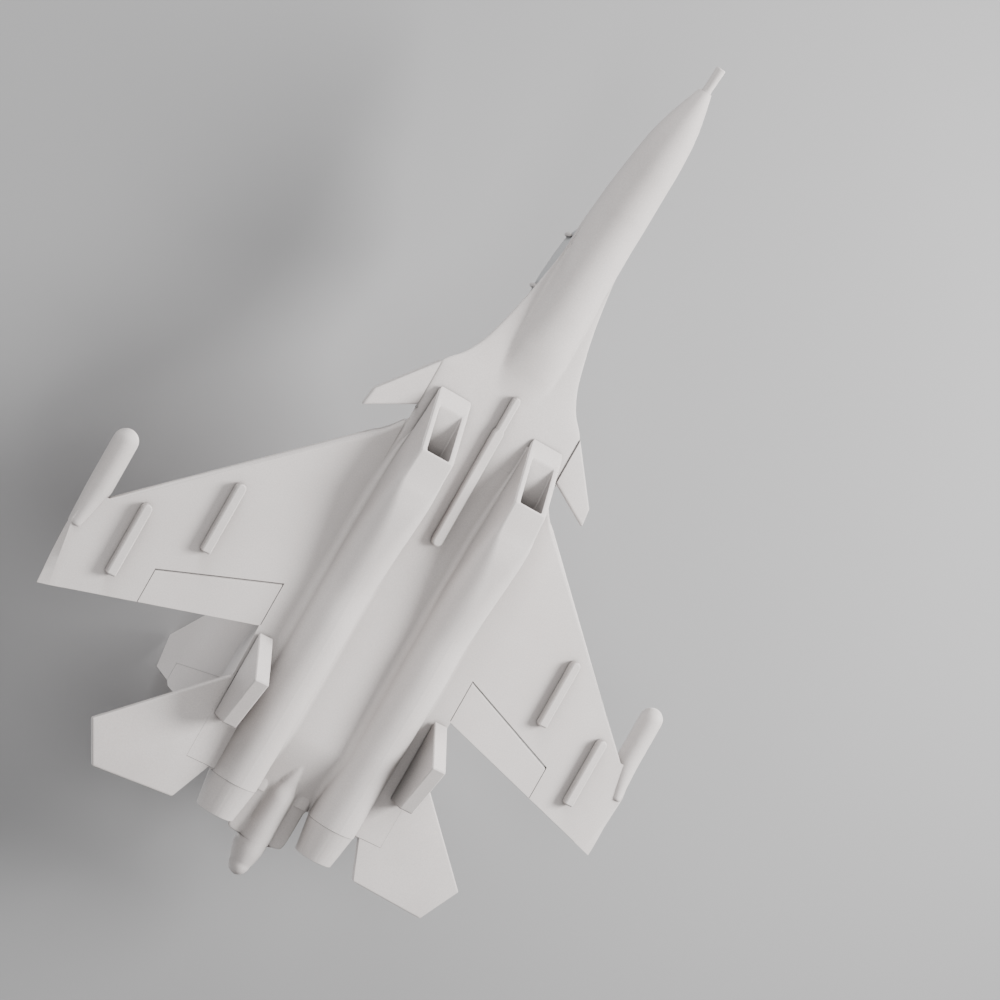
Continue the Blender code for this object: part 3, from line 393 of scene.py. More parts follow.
def tube(name, points, radius, flip=1.0):
    """A round rod along a list of points, with domed ends."""
    rings = []
    points = [Vector(point) for point in points]
    last = len(points) - 1
    for index, point in enumerate(points):
        ahead = points[min(index + 1, last)] - points[max(index - 1, 0)]
        turn = ahead.to_track_quat("Z", "Y").to_matrix()
        reach = radius * (0.5 if index in (0, last) else 1.0)
        rings.append([tuple(point + turn @ Vector((reach * math.cos(angle), reach * math.sin(angle), 0.0)))
                      for angle in full_turn(14)])
    return loft(name, rings, flip=flip)


# ---- materials

def nodes_of(name):
    material = bpy.data.materials.new(name)
    material.use_nodes = True
    tree = material.node_tree
    return material, tree, tree.nodes["Principled BSDF"]


def noise(tree, scale, detail=6.0, roughness=0.6, stretch=None):
    coords = tree.nodes.new("ShaderNodeTexCoord")
    node = tree.nodes.new("ShaderNodeTexNoise")
    node.inputs["Scale"].default_value = scale
    node.inputs["Detail"].default_value = detail
    node.inputs["Roughness"].default_value = roughness
    if stretch:
        mapping = tree.nodes.new("ShaderNodeMapping")
        mapping.inputs["Scale"].default_value = stretch
        tree.links.new(coords.outputs["Object"], mapping.inputs["Vector"])
        tree.links.new(mapping.outputs["Vector"], node.inputs["Vector"])
    else:
        tree.links.new(coords.outputs["Object"], node.inputs["Vector"])
    return node.outputs["Fac"]


def remap(tree, value, low, high, out_low, out_high):
    node = tree.nodes.new("ShaderNodeMapRange")
    node.inputs["From Min"].default_value = low
    node.inputs["From Max"].default_value = high
    node.inputs["To Min"].default_value = out_low
    node.inputs["To Max"].default_value = out_high
    tree.links.new(value, node.inputs["Value"])
    return node.outputs["Result"]


def mix_colour(tree, factor, first, second):
    node = tree.nodes.new("ShaderNodeMix")
    node.data_type = "RGBA"
    for socket, value in ((node.inputs[0], factor), (node.inputs[6], first), (node.inputs[7], second)):
        if isinstance(value, (int, float, tuple)):
            socket.default_value = value
        else:
            tree.links.new(value, socket)
    return node.outputs[2]


def bump(tree, shader, height, strength, distance, before=None):
    node = tree.nodes.new("ShaderNodeBump")
    node.inputs["Strength"].default_value = strength
    node.inputs["Distance"].default_value = distance
    tree.links.new(height, node.inputs["Height"])
    if before:
        tree.links.new(before, node.inputs["Normal"])
    tree.links.new(node.outputs["Normal"], shader.inputs["Normal"])
    return node.outputs["Normal"]


def skin_material(name, light, dark, rough, grain=1.0):
    """Moulded shell: matt, very fine grain and faint mottling, with painted shade: ambient occlusion
    darkens the colour in recesses, creases and between parts.
    """
    material, tree, shader = nodes_of(name)
    mottle = remap(tree, noise(tree, 14.0, 5.0), 0.35, 0.65, 0.0, 1.0)
    fine = remap(tree, noise(tree, 620.0, 3.0, 0.75), 0.3, 0.7, 0.0, 1.0)
    blotch = mix_colour(tree, mottle, dark, light)
    base = mix_colour(tree, remap(tree, fine, 0.0, 1.0, 0.0, 0.55), blotch,
                      tuple(channel * 0.78 for channel in dark[:3]) + (1.0,))
    speck = mix_colour(tree, remap(tree, noise(tree, 2600.0, 1.0), 0.58, 0.75, 0.0, 0.35), base,
                       tuple(channel * 0.72 for channel in dark[:3]) + (1.0,))
    # Painted shade: ambient occlusion multiplied into the base colour darkens recesses, tunnels and the
    # gaps between parts.
    occlusion_shade = tree.nodes.new("ShaderNodeAmbientOcclusion")
    occlusion_shade.samples = 6
    occlusion_shade.inputs["Distance"].default_value = 0.045
    shade = remap(tree, occlusion_shade.outputs["AO"], 0.10, 1.0, 0.26, 1.0)
    painted_shade_mix = tree.nodes.new("ShaderNodeMix")
    painted_shade_mix.data_type = "RGBA"
    painted_shade_mix.blend_type = "MULTIPLY"
    painted_shade_mix.inputs[0].default_value = 1.0
    tree.links.new(speck, painted_shade_mix.inputs[6])
    tree.links.new(shade, painted_shade_mix.inputs[7])
    tree.links.new(painted_shade_mix.outputs[2], shader.inputs["Base Color"])
    tree.links.new(remap(tree, fine, 0.0, 1.0, rough - 0.06, rough + 0.08), shader.inputs["Roughness"])
    shader.inputs["Specular IOR Level"].default_value = 0.35
    soft = bump(tree, shader, noise(tree, 60.0, 3.0), 0.05 * grain, 0.0006)
    bump(tree, shader, fine, 0.22 * grain, 0.00012, soft)
    return material


def equipment_material(name, pattern, window, dark, light, rough, strength, distance, tint=None):
    """Finish whose colour, roughness and bump follow one pattern; tint is a second one for the colour.

    A single roughness number stands for an even one.
    """
    material, tree, shader = nodes_of(name)
    texture = noise(tree, *pattern)
    colour = noise(tree, *tint) if tint else texture
    base = mix_colour(tree, remap(tree, colour, *window, 0.0, 1.0), dark + (1.0,), light + (1.0,))
    tree.links.new(base, shader.inputs["Base Color"])
    if isinstance(rough, tuple):
        tree.links.new(remap(tree, texture, 0.3, 0.7, *rough), shader.inputs["Roughness"])
    else:
        shader.inputs["Roughness"].default_value = rough
    if name == "brushed_metal":
        shader.inputs["Metallic"].default_value = 1.0
    bump(tree, shader, texture, strength, distance)
    return material


# Slot: material name, pattern, colour window, dark, light, roughness, bump strength and distance, tint
FINISHES = {
    "fan_plastic": ("glass_filled_fan", (500.0, 3.0, 0.6, (1.0, 0.15, 1.0)), (0.3, 0.7),
                    (0.012, 0.012, 0.013), (0.030, 0.030, 0.032), (0.38, 0.55), 0.25, 0.0002),
    "metal": ("brushed_metal", (900.0, 2.0, 0.5, (0.08, 1.0, 1.0)), (0.3, 0.7),
              (0.42, 0.42, 0.44), (0.62, 0.62, 0.64), (0.22, 0.38), 0.2, 0.0001),
    "carbon": ("pultruded_carbon", (700.0, 3.0, 0.7, (0.05, 1.0, 1.0)), (0.35, 0.65),
               (0.008, 0.008, 0.009), (0.045, 0.045, 0.05), (0.25, 0.5), 0.3, 0.0002),
    "equipment_case": ("satin_case", (1500.0, 2.0), (0.35, 0.65),
                       (0.010, 0.010, 0.012), (0.022, 0.022, 0.025), (0.32, 0.5), 0.35, 0.00015, (40.0,)),
    "battery_wrap": ("shrink_film", (120.0, 8.0, 0.7), (0.3, 0.7),
                     (0.012, 0.035, 0.13), (0.025, 0.065, 0.20), 0.25, 0.5, 0.0006),
    "ply": ("light_ply", (260.0, 6.0, 0.65, (1.0, 0.06, 1.0)), (0.35, 0.65),
            (0.40, 0.27, 0.15), (0.62, 0.47, 0.30), 0.7, 0.3, 0.0003),
}
SKIN = skin_material("moulded_skin", (0.790, 0.742, 0.722, 1.0), (0.745, 0.695, 0.674, 1.0), 0.66)
COOL_SKIN = skin_material("canopy_skin", (0.690, 0.690, 0.695, 1.0), (0.650, 0.650, 0.655, 1.0), 0.50, 0.6)
# Darker copy of the moulded skin, first made as painted shade for the intake duct; it now finishes only
# the foreplane root pins.
SHADED_SKIN = skin_material("shaded_skin", (0.41, 0.395, 0.385, 1.0), (0.36, 0.345, 0.335, 1.0), 0.70)


def keep(item, body, *replaced, material=SKIN):
    """Finish a shell piece, ride it on its body and put it in place of the CAD sub-parts it shows."""
    item.data.materials.clear()
    item.data.materials.append(material)
    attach(item, body)
    if replaced:
        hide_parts(*replaced)
    return item


# ---- forward body, one skin from the nose to the middle seam

def shell_ring(y):
    """One ring of the forward body: over its crown, then back under its keel."""
    count = 61
    half = body_half(y) if y >= NOSE_SEAM_Y else along(NOSE, y, 2)
    seam = along(BODY, y, 5) if y >= NOSE_SEAM_Y else along(NOSE, y, 1)
    upper = []
    lower = []
    for index, angle in enumerate(half_turn(count)):
        x = half * math.sin(angle)
        edge = index in (0, count - 1)
        upper.append((x, y, seam if edge else body_top(x, y)))
        lower.append((x, y, seam if edge else body_low(x, y)))
    return upper + lower[-2:0:-1]


def build_fore_body():
    stations = frange(-0.4700, NOSE_SEAM_Y, 34) + frange(NOSE_SEAM_Y, -0.1300, 40)[1:]
    stations += frange(-0.1300, -0.0890, 16)[1:] + frange(-0.0890, MID_SEAM_Y + 0.0006, 10)[1:]
    body = loft("fore_body", [shell_ring(y) for y in stations], smooth_angle=50.0)
    outline = [(along(CANOPY, y, 1), y) for y in frange(CANOPY[0][0], CANOPY[-1][0], 33)]
    outline += [(-x, y) for x, y in outline[::-1]]
    body = cut(body, prism("canopy_opening", outline, 0.0620, 0.130))
    bay = [(-0.0215, -0.2020), (0.0215, -0.2020), (0.0215, -0.0580), (-0.0215, -0.0580)]
    body = cut(body, prism("battery_bay", bay, 0.0560, 0.0868))
    body.data.shade_smooth()
    body.data.set_sharp_from_angle(angle=math.radians(42.0))
    keep(body, "airframe", "nose_cone", "fuselage_top", "fuselage_belly")


def build_probe():
    """Tubular probe on the nose with a rounded rim."""
    rise = math.radians(9.0)
    axis = Vector((0.0, math.cos(rise), math.sin(rise)))
    side = Vector((1.0, 0.0, 0.0))
    up = side.cross(axis)
    tip = Vector((0.0, -HALF_LENGTH + 0.0009, 0.0108))
    length = 0.0330
    profile = ((0.0000, 0.0012), (0.0000, 0.0040), (0.0003, 0.0048), (0.0009, 0.0053), (0.0018, 0.0054),
               (0.0150, 0.0051), (length - 0.007, 0.0050), (length - 0.003, 0.0056), (length, 0.0068),
               (length + 0.003, 0.0072))
    rings = []
    for aft, radius in profile:
        rings.append([tuple(tip + axis * aft + (side * math.cos(a) + up * math.sin(a)) * radius)
                      for a in full_turn(32)])
    keep(loft("nose_probe", rings), "airframe", "pitot_boom")


def canopy_point(angle, y, extra=0.0):
    """Point of the canopy's arch at y, moved outwards by extra."""
    half = along(CANOPY, y, 1) - 0.0002
    sill = body_top(half, y) - 0.0018
    crown = along(CANOPY, y, 2)
    x = (half + extra) * math.sin(angle)
    z = sill + (crown - sill + extra) * max(math.cos(angle), 0.0) ** 0.92
    return (x, y, z)


def build_canopy():
    wall = 0.0016
    angles = half_turn(41)
    rings = []
    for y in frange(CANOPY[0][0] + 0.0003, CANOPY[-1][0] - 0.0003, 56):
        outer = [canopy_point(angle, y) for angle in angles]
        inner = [canopy_point(angle, y, -wall) for angle in angles]
        rings.append(outer + inner[::-1])
    hatch = loft("canopy", rings, smooth_angle=50.0)
    keep(hatch, "canopy_hatch", "canopy_hatch", material=COOL_SKIN)
    bow_lift, bow_radius = 0.0022, 0.0021
    for label, y in (("front", -0.2740), ("rear", -0.2090)):
        arc = [canopy_point(angle, y, bow_lift) for angle in frange(-1.50, 1.50, 41)]
        keep(tube("canopy_bow_" + label, arc, bow_radius), "canopy_hatch")


# ---- rear body

def under_z(x, y):
    """Underside of the shell beside the nacelle, easing from the forward belly up to the wing."""
    share = ease((y - MID_SEAM_Y) / 0.055)
    return body_low(min(abs(x), BODY_SIDE_X), MID_SEAM_Y) * (1.0 - share) + WING_Z * share


def build_deck():
    """Spine, nacelle roofs and shoulders behind the middle seam, hollow over the tunnel."""
    count = 93
    rings = []
    for y in frange(MID_SEAM_Y + 0.0003, 0.10, 26) + frange(0.10, NOZZLE_SEAM_Y - 0.0004, 40)[1:]:
        half = BODY_SIDE_X + (ROOT_X - BODY_SIDE_X) * ease((y - MID_SEAM_Y) / 0.004)
        outer = []
        lower = []
        for index, angle in enumerate(half_turn(count)):
            x = half * math.sin(angle)
            top = deck_top(x * ROOT_X / half, y)
            edge = index in (0, count - 1)
            under = min(under_z(x, y), WING_Z + 0.0015)
            if abs(x) < DUCT_X:
                under = max(under, min(DECK_CORE_Z, top - 0.0030))
            outer.append((x, y, max(WING_Z + 0.002 if edge else top, under + 0.0002)))
            lower.append((x, y, under))
        rings.append(outer + lower[::-1])
    keep(loft("rear_body", rings, smooth_angle=50.0), "airframe", "rear_deck")


def floor_rise(y):
    """Height the tunnel floor has gained at y on its way up to the beaver tail."""
    return FLOOR_CLIMB * ease((y - 0.325) / 0.082)


def stinger_swell(x, y, wide, radius, square):
    """Half height of the beaver tail at x: a round body merged into a thin flange."""
    thick = along(STINGER, y, 2)
    return max(smooth_max(dome(x, radius, radius), dome(x, wide, thick / 2.0, square), 0.5 * thick), 0.0)


def stinger_ring(y, count):
    """Lower and upper halves of the beaver tail's ring at y."""
    wide, radius, height = along(STINGER, y, 1), along(STINGER, y, 3), along(STINGER, y, 4)
    if y > 0.4850:
        blunt = math.sqrt(max(1.0 - ((y - 0.4850) / 0.0151) ** 2, 0.0))
        radius = 0.0004 + 0.0120 * blunt
        wide = radius + 0.0002
    lower = []
    upper = []
    for index, angle in enumerate(half_turn(count)):
        x = wide * math.sin(angle)
        edge = index in (0, count - 1)
        drop = 0.0 if edge else stinger_swell(x, y, wide, radius, 6.0)
        rise = 0.0 if edge else 0.8 * stinger_swell(x, y, wide, radius, 2.5)
        lower.append((x, y, height - 0.0001 - drop))
        upper.append((x, y, height + 0.0001 + rise))
    return lower, upper


def build_floor():
    """Tunnel floor that climbs and grows a ridge, and runs on without a break as the beaver tail."""
    rings = []
    count = 57
    ridge_y, blend_y = 0.3600, 0.3850
    joint = NOZZLE_SEAM_Y + 0.0006
    tail_edge = stinger_ring(joint, count)[0]
    core_z = BELLY_Z + FLOOR_CLIMB + 0.0030
    for y in frange(MID_SEAM_Y - 0.0003, 0.33, 16) + frange(0.335, joint, 34):
        grown = min(max((y - ridge_y) / (joint - ridge_y), 0.0), 1.0)
        blend = ease((y - blend_y) / (joint - blend_y))
        outer = []
        for index, (far_x, _, far_z) in enumerate(tail_edge):
            x = (TUNNEL_HALF - 0.0031 * blend) * far_x / along(STINGER, joint, 1)
            level = BELLY_Z + floor_rise(y)
            if 0 < index < count - 1 and grown > 0.0:
                ridge = x / (TUNNEL_RIDGE * grown ** 0.8)
                level -= 0.0112 * grown * math.sqrt(max(1.0 - ridge ** 2, 0.0))
            share = blend * ease((0.0335 - abs(x)) / 0.0095)
            outer.append((x, y, level + (far_z - level) * share))
        roof = [(x, y, max(min(core_z, deck_top(x, y) - 0.0020), z + 0.0003)) for x, _, z in outer]
        rings.append(outer + roof[::-1])
    stations = frange(joint, 0.4520, 14)[1:] + frange(0.4520, 0.4590, 9)[1:]
    for y in stations + frange(0.459, HALF_LENGTH, 18)[1:]:
        lower, upper = stinger_ring(y, count)
        rings.append(lower + upper[::-1])
    item = loft("tunnel_and_tail", rings, smooth_angle=50.0)
    keep(item, "airframe", "tunnel_floor", "tail_stinger")


def build_nacelle(side, flip):
    """Nacelle and its duct as one skin, out over the rim and back inside."""
    rim = ((0.0, (0.0016, 0.0010, 0.0001)), (0.0004, (0.0012, 0.0005, 0.0)),
           (0.0012, (0.0010, 0.0001, 0.0)), (0.0022, (0.0008, 0.0, 0.0)))
    seam = NOZZLE_SEAM_Y - 0.0001
    rings = [section(INTAKE_LIP_Y + aft, walls) for aft, walls in rim]
    rings += [section(y) for y in frange(INTAKE_LIP_Y + 0.0030, 0.17, 46) + frange(0.17, seam, 24)[1:]]
    inside = frange(seam, 0.21, 8) + frange(0.17, INTAKE_LIP_Y + 0.004, 34)
    inner = [section(y, duct_walls(y)) for y in inside]
    walls = duct_walls(INTAKE_LIP_Y)
    inner.append(section(INTAKE_LIP_Y + 0.0008, walls))
    inner.append(section(INTAKE_LIP_Y, tuple(wall - 0.0006 for wall in walls)))
    item = loft("nacelle_skin_" + side, rings + inner, wrap=True, smooth_angle=50.0, flip=flip)
    keep(item, "airframe", "nacelle_" + side)


def fillet_ring(y, outward, plane, radius):
    """Concave corner between the nacelle's side and a level skin above it."""
    count = 10
    sample = 0.0006
    centre = along(NACELLE, y, 1)
    roof = along(NACELLE, y, 2) + along(NACELLE, y, 4)
    foot = min(plane - radius, roof - sample)
    wall = nacelle_side(y, foot)
    lean = (wall - nacelle_side(y, foot - sample)) / sample
    start = Vector((wall - 0.0001, foot))
    bend = Vector((wall + max(lean, -1.5) * (plane - foot), plane))
    end = Vector((bend.x + radius, plane))
    ring = []
    for index in range(count):
        t = index / (count - 1.0)
        spot = start * (1.0 - t) ** 2 + bend * 2.0 * t * (1.0 - t) + end * t * t
        ring.append((centre + outward * spot.x, y, spot.y))
    sunk_x = centre + outward * (wall - 0.004)
    sunk_z = plane + 0.0012
    return ring + [(centre + outward * end.x, y, sunk_z), (sunk_x, y, sunk_z), (sunk_x, y, foot)]


def build_fillets(side, flip):
    """Fairings along both sides of a nacelle, under the shoulder and under the tunnel floor."""
    overlap = 0.00002
    least = 0.0014
    outer = []
    inner = []
    for y in frange(-0.055, 0.4045, 60):
        grow = ease((y + 0.055) / 0.14)
        radius = 0.0028 + 0.0052 * grow
        plane = under_z(0.0905, y) if y > MID_SEAM_Y else body_low(0.0880, y)
        fade = ease((0.31 - y) / 0.06) if y > 0.25 else 1.0
        outer.append(fillet_ring(y, 1.0, plane - overlap, least + (radius - least) * max(fade, 0.15)))
        shrink = 1.0 - 0.8 * ease((y - 0.3780) / 0.026)
        plane = BELLY_Z + floor_rise(y)
        inner.append(fillet_ring(y, -1.0, plane - overlap, (0.0025 + 0.0040 * grow) * shrink))
    keep(loft("outer_fairing_" + side, outer, flip=flip), "airframe")
    keep(loft("inner_fairing_" + side, inner, flip=flip), "airframe")


def build_nozzle(side, flip):
    """Tapered outlet ring with shallow petals and a thin rolled rim."""
    rows = ((NOZZLE_SEAM_Y + 0.0002, 0.0273), (NOZZLE_SEAM_Y + 0.0004, 0.0275), (0.4080, 0.0272),
            (0.4120, 0.0266), (0.4200, 0.0254), (0.4290, 0.0241), (0.4380, 0.0227),
            (NOZZLE_END_Y - 0.0004, 0.0217), (NOZZLE_END_Y, 0.0213))
    centre_x, wall, groove_depth = 0.0638, 0.0017, 0.00018
    petals, per_petal = 14, 8
    rings = []
    for inside in (False, True):
        for y, radius in (rows[::-1] if inside else rows):
            ring = []
            z = 0.0590 + 0.0006 * (y - NOZZLE_SEAM_Y) / 0.04
            reach = ease((y - 0.4060) / 0.003)
            for index, angle in enumerate(full_turn(petals * per_petal)):
                groove = groove_depth * reach * (index % per_petal == 0)
                reach_out = radius - wall if inside else radius - groove
                ring.append((centre_x + reach_out * math.cos(angle), y, z + reach_out * math.sin(angle)))
            rings.append(ring)
    item = loft("outlet_" + side, rings, wrap=True, smooth_angle=24.0, flip=flip)
    keep(item, "airframe", "nozzle_" + side)


def tip_ring(y, half, tall, x, z):
    return [(x + half * math.cos(turn), y, z + tall * math.sin(turn)) for turn in full_turn(48)]


def build_pod(side, flip):
    """Round wing tip body whose tail tapers outboard along the wing's edge."""
    rings = []
    front_y = 0.129
    tail_cap = 0.0030
    centre_z = TIP_BODY_LOW_Z + TIP_BODY_RADIUS
    for share in (0.004, 0.03, 0.08, 0.16, 0.27, 0.40, 0.55, 0.75, 1.0):
        radius = TIP_BODY_RADIUS * math.sqrt(1.0 - (1.0 - share) ** 2)
        rings.append(tip_ring(front_y + TIP_BODY_RADIUS * share, radius, radius, TIP_BODY_X, centre_z))
    for y in (0.1500, 0.1650, 0.1800):
        rings.append(tip_ring(y, TIP_BODY_RADIUS, TIP_BODY_RADIUS, TIP_BODY_X, centre_z))
    for y in frange(TIP_TAPER_Y, TIP_BODY_END_Y - tail_cap, 16):
        taper = (y - TIP_TAPER_Y) / (TIP_BODY_END_Y - TIP_TAPER_Y)
        half = TIP_BODY_RADIUS - 0.0070 * taper ** 1.2
        tall = TIP_BODY_RADIUS - 0.0045 * taper ** 1.2
        rings.append(tip_ring(y, half, tall, TIP_OUTER_X - half, TIP_BODY_LOW_Z + tall))
    for share in (0.30, 0.55, 0.75, 0.90, 0.98):
        y = TIP_BODY_END_Y - tail_cap + tail_cap * share
        shrink = math.sqrt(1.0 - share ** 2)
        rings.append(tip_ring(y, half * shrink, tall * shrink, TIP_OUTER_X - half, TIP_BODY_LOW_Z + tall))
    keep(loft("tip_body_" + side, rings, smooth_angle=50.0, flip=flip), "airframe",
         "wingtip_pod_" + side)


def trailing_y(x):
    return 0.2391 + (x - ROOT_X) * TRAILING_SLOPE


def boom_top(y):
    return WING_Z + 0.0120 + 0.0100 * ease((y - 0.2480) / 0.030)


def build_boom(side, flip):
    """Tail boom flush with the tailplane's underside; its end is an arc about the tailplane's shaft."""
    inner_x, outer_x = BOOM_INNER_X, BOOM_OUTER_X
    stations = (0.2440, 0.2500, 0.2560, 0.2640, 0.2720, 0.2790, 0.3300, 0.3700, 0.3990)
    rings = []
    for y in stations:
        low = WING_Z - 0.00004 - 0.0023 * ease((y - 0.2480) / 0.03)
        high = boom_top(y) - 0.006 * ease((y - 0.36) / 0.04)
        ring = [(inner_x, y, low), (outer_x - 0.0002, y, low), (outer_x, y, low + 0.0002),
                (outer_x, y, high - 0.0020), (outer_x - 0.0006, y, high - 0.0006),
                (outer_x - 0.0020, y, high), (inner_x, y, high)]
        if y == stations[0]:
            ring = [(x, trailing_y(x) - 0.0015, z) for x, _, z in ring]
        if y == stations[-1]:
            ring = [(x, STAB_SHAFT_Y + math.sqrt(BOOM_END_RADIUS ** 2 - (z - STAB_Z) ** 2), z)
                    for x, _, z in ring]
        rings.append(ring)
    item = loft("boom_skin_" + side, rings, smooth_angle=25.0, flip=flip)
    keep(item, "airframe", "tail_boom_" + side)


def rudder_hinge_y(z):
    return 0.3190 + (z - RUDDER_LOW_Z) * 0.188


def wing_top_at_fin(y):
    thickness = 0.01154
    leading_y = 0.0094
    fraction = (y - leading_y) / (trailing_y(FIN_X) - leading_y)
    fall = min(max((fraction - 0.55) / 0.45, 0.0), 1.0)
    return WING_Z + thickness + (0.0025 - thickness) * fall


def build_fin(side, flip):
    """Fin with a cut-out and a round cove that the rudder's nose turns in, with a fine gap."""
    gap = 0.0005
    cove_radius = RUDDER_NOSE + 0.0003
    lip = 0.0004
    base = [(y, boom_top(y) - 0.0003) for y in (0.3550, 0.3300, 0.2790, 0.2720, 0.2640, 0.2560, 0.2446)]
    base += [(y, wing_top_at_fin(y) - 0.0004) for y in (0.2446, 0.1890)]
    outline = [(0.2830, 0.2120), (0.3243, 0.2710), (0.3610, 0.2590), (0.3632, RUDDER_HIGH_Z + gap),
               (rudder_hinge_y(RUDDER_HIGH_Z) - lip, RUDDER_HIGH_Z + gap),
               (rudder_hinge_y(RUDDER_LOW_Z) - lip, RUDDER_LOW_Z - gap),
               (RUDDER_BACK_Y, RUDDER_LOW_Z - gap)] + base
    bm = bmesh.new()
    near, far = ([bm.verts.new((x * flip, y, z)) for y, z in outline]
                 for x in (FIN_X - FIN_HALF, FIN_X + FIN_HALF))
    bm.faces.new(near)
    bm.faces.new(far[::-1])
    for index in range(len(outline)):
        following = (index + 1) % len(outline)
        bm.faces.new((near[index], near[following], far[following], far[index]))
    cove = []
    for z in (RUDDER_LOW_Z - gap, RUDDER_HIGH_Z + gap):
        hinge = rudder_hinge_y(z)
        cove.append([(FIN_X + cove_radius * math.sin(turn), hinge + cove_radius * math.cos(turn), z)
                     for turn in full_turn(48)])
    fin = cut(new_mesh_object("fin_skin_" + side, bm, 180.0), loft("cove_cutter_" + side, cove, flip=flip))
    fin = softened(fin, 0.00015, 2)
    keep(fin, "airframe", "fin_" + side)


def build_rudder(side, flip):
    rings = []
    trim = 0.0001
    taper_z = 0.2020
    for z in (RUDDER_LOW_Z, RUDDER_LOW_Z + trim, 0.1435, taper_z, RUDDER_HIGH_Z - trim, RUDDER_HIGH_Z):
        inset = trim if z in (RUDDER_LOW_Z, RUDDER_HIGH_Z) else 0.0
        hinge = rudder_hinge_y(z)
        radius = RUDDER_NOSE - inset
        ring = []
        for index in range(13):
            angle = math.pi * (0.5 + index / 12.0)
            ring.append((FIN_X + radius * math.sin(angle), hinge + radius * math.cos(angle), z))
        back = RUDDER_BACK_Y - 0.4 * max(z - taper_z, 0.0) - inset
        for half, y in ((-RUDDER_NOSE, back - 0.0006), (-0.0028, back)):
            ring.append((FIN_X + half + inset, y, z))
        for half, y in ((0.0028, back), (RUDDER_NOSE, back - 0.0006)):
            ring.append((FIN_X + half - inset, y, z))
        rings.append(ring)
    rudder = loft("rudder_skin_" + side, rings, smooth_angle=30.0, flip=flip)
    keep(rudder, "rudder_" + side, "rudder_" + side)


def build_flat_pieces(side):
    """Slabs and rails: wings, pylons, keel fins and flaperons keep their outlines and gain rounded edges.
    """
    pieces = (("wing_skin_", "wing_", "airframe", 0.0007),
              ("pylon_inner_", "inner_pylon_", "airframe", 0.0007),
              ("pylon_outer_", "outer_pylon_", "airframe", 0.0007),
              ("keel_fin_", "ventral_fin_", "airframe", 0.0010),
              ("flaperon_skin_", "flaperon_", "flaperon_" + side, 0.0004))
    for label, node, body, width in pieces:
        keep(from_node(label + side, node + side, width), body, node + side)


def slab(name, outline, level, half, bevel, soft_edges, soft_corners, flip):
    """Flat surface with wide rounded edges, except along the sides that face its neighbours."""
    bm = bmesh.new()
    rows = [[bm.verts.new((x * flip, y, level + z)) for x, y in outline] for z in (-half, half)]
    bm.faces.new(rows[0])
    bm.faces.new(rows[1][::-1])
    soft = []
    for index in range(len(outline)):
        following = (index + 1) % len(outline)
        bm.faces.new((rows[0][index], rows[0][following], rows[1][following], rows[1][index]))
        if index in soft_edges:
            soft += [bm.edges.get((row[index], row[following])) for row in rows]
        if index in soft_corners:
            soft.append(bm.edges.get((rows[0][index], rows[1][index])))
    bmesh.ops.bevel(bm, geom=soft, offset=bevel, segments=4, profile=0.6, affect="EDGES")
    return new_mesh_object(name, bm, 30.0)


def build_moving_surfaces(side, flip):
    """Tailplane, with a step around the boom's end, and foreplane."""
    root = 0.1262
    outline = [(root, 0.3060), (0.2380, 0.4100), (0.2120, 0.4550), (0.1180, 0.4490), (0.0980, 0.4030),
               (root, 0.4030)]
    item = slab("tailplane_" + side, outline, STAB_Z, 0.00325, 0.0024, (0, 1, 2), (1, 2, 3), flip)
    keep(item, "stabilator_" + side, "stabilator_" + side)
    outline = [(0.0940, -0.0892), (0.1450, -0.0290), (0.1480, -0.0080), (0.0940, -0.0360)]
    item = slab("foreplane_" + side, outline, CANARD_Z, 0.0036, 0.0028, (0, 1, 2), (1, 2), flip)
    keep(item, "canard_" + side, "canard_" + side)


def build_tip_wedge(side, flip):
    """Wing tip outboard of the cut, with a chamfer that opens behind the tip body."""
    rings = []
    inner = 0.3350
    front, chamfer, back = 0.2010, 0.2340, 0.3067
    under = WING_Z - 0.00003
    for y in frange(front, chamfer, 4) + frange(chamfer, back, 16)[1:]:
        opened = max((y - chamfer) / (back - chamfer), 0.0)
        outer = 0.3572 + 0.0058 * ease((y - front) / 0.039) - 0.0022 * opened ** 2
        bend = outer - 0.0012 - 0.0105 * opened ** 0.8
        grown = 0.0047 * ease((y - TIP_TAPER_Y) / 0.055)
        top = WING_Z + 0.0018 + grown - 0.0035 * ease((y - 0.2500) / 0.057)
        rise = min(0.0010 + 0.0058 * opened ** 0.7, top - WING_Z - 0.0008)
        ring = [(inner, under), ((inner + bend) / 2.0, under), (bend, under),
                (bend + 0.0003, WING_Z + 0.00003), (outer - 0.0005, WING_Z + rise - 0.0003),
                (outer, WING_Z + rise), (outer - 0.0001, top - 0.0004), (outer - 0.0008, top),
                ((inner + outer) / 2.0, top), (inner, top)]
        slant = TRAILING_SLOPE * (y - front) / (back - front)
        rings.append([(x, y + (x - 0.3480) * slant, z) for x, z in ring])
    keep(loft("tip_wedge_" + side, rings, smooth_angle=14.0, flip=flip), "airframe")


def build_keel_rail():
    keep(from_node("keel_rail", "belly_rail", 0.0014, 5), "airframe", "belly_rail")


def build_root_pin(side, flip):
    """Small pin head at the back of the foreplane's root."""
    points = [(0.0938, -0.0335, z) for z in (0.0560, 0.0552, 0.0528, 0.0524)]
    # The pin wears the darker copy of the skin, a painted-shade colour.
    keep(tube("root_pin_" + side, points, 0.0013, flip=flip), "airframe", material=SHADED_SKIN)


def finish_equipment():
    """Finishes for the CAD sub-parts that still show: fans, equipment and spars."""
    finishes = {slot: equipment_material(*row) for slot, row in FINISHES.items()}

    def slot_of(name):
        if "shaft" in name or "fan_motor" in name:
            return "metal"
        if "spar" in name:
            return "carbon"
        if "fan_" in name:
            return "fan_plastic"
        if name == "battery":
            return "battery_wrap"
        if name == "battery_tray":
            return "ply"
        return "equipment_case"

    for name, node in NODES.items():
        if node.hide_render:
            continue
        kind = slot_of(name)
        node.data.materials.clear()
        node.data.materials.append(finishes[kind])


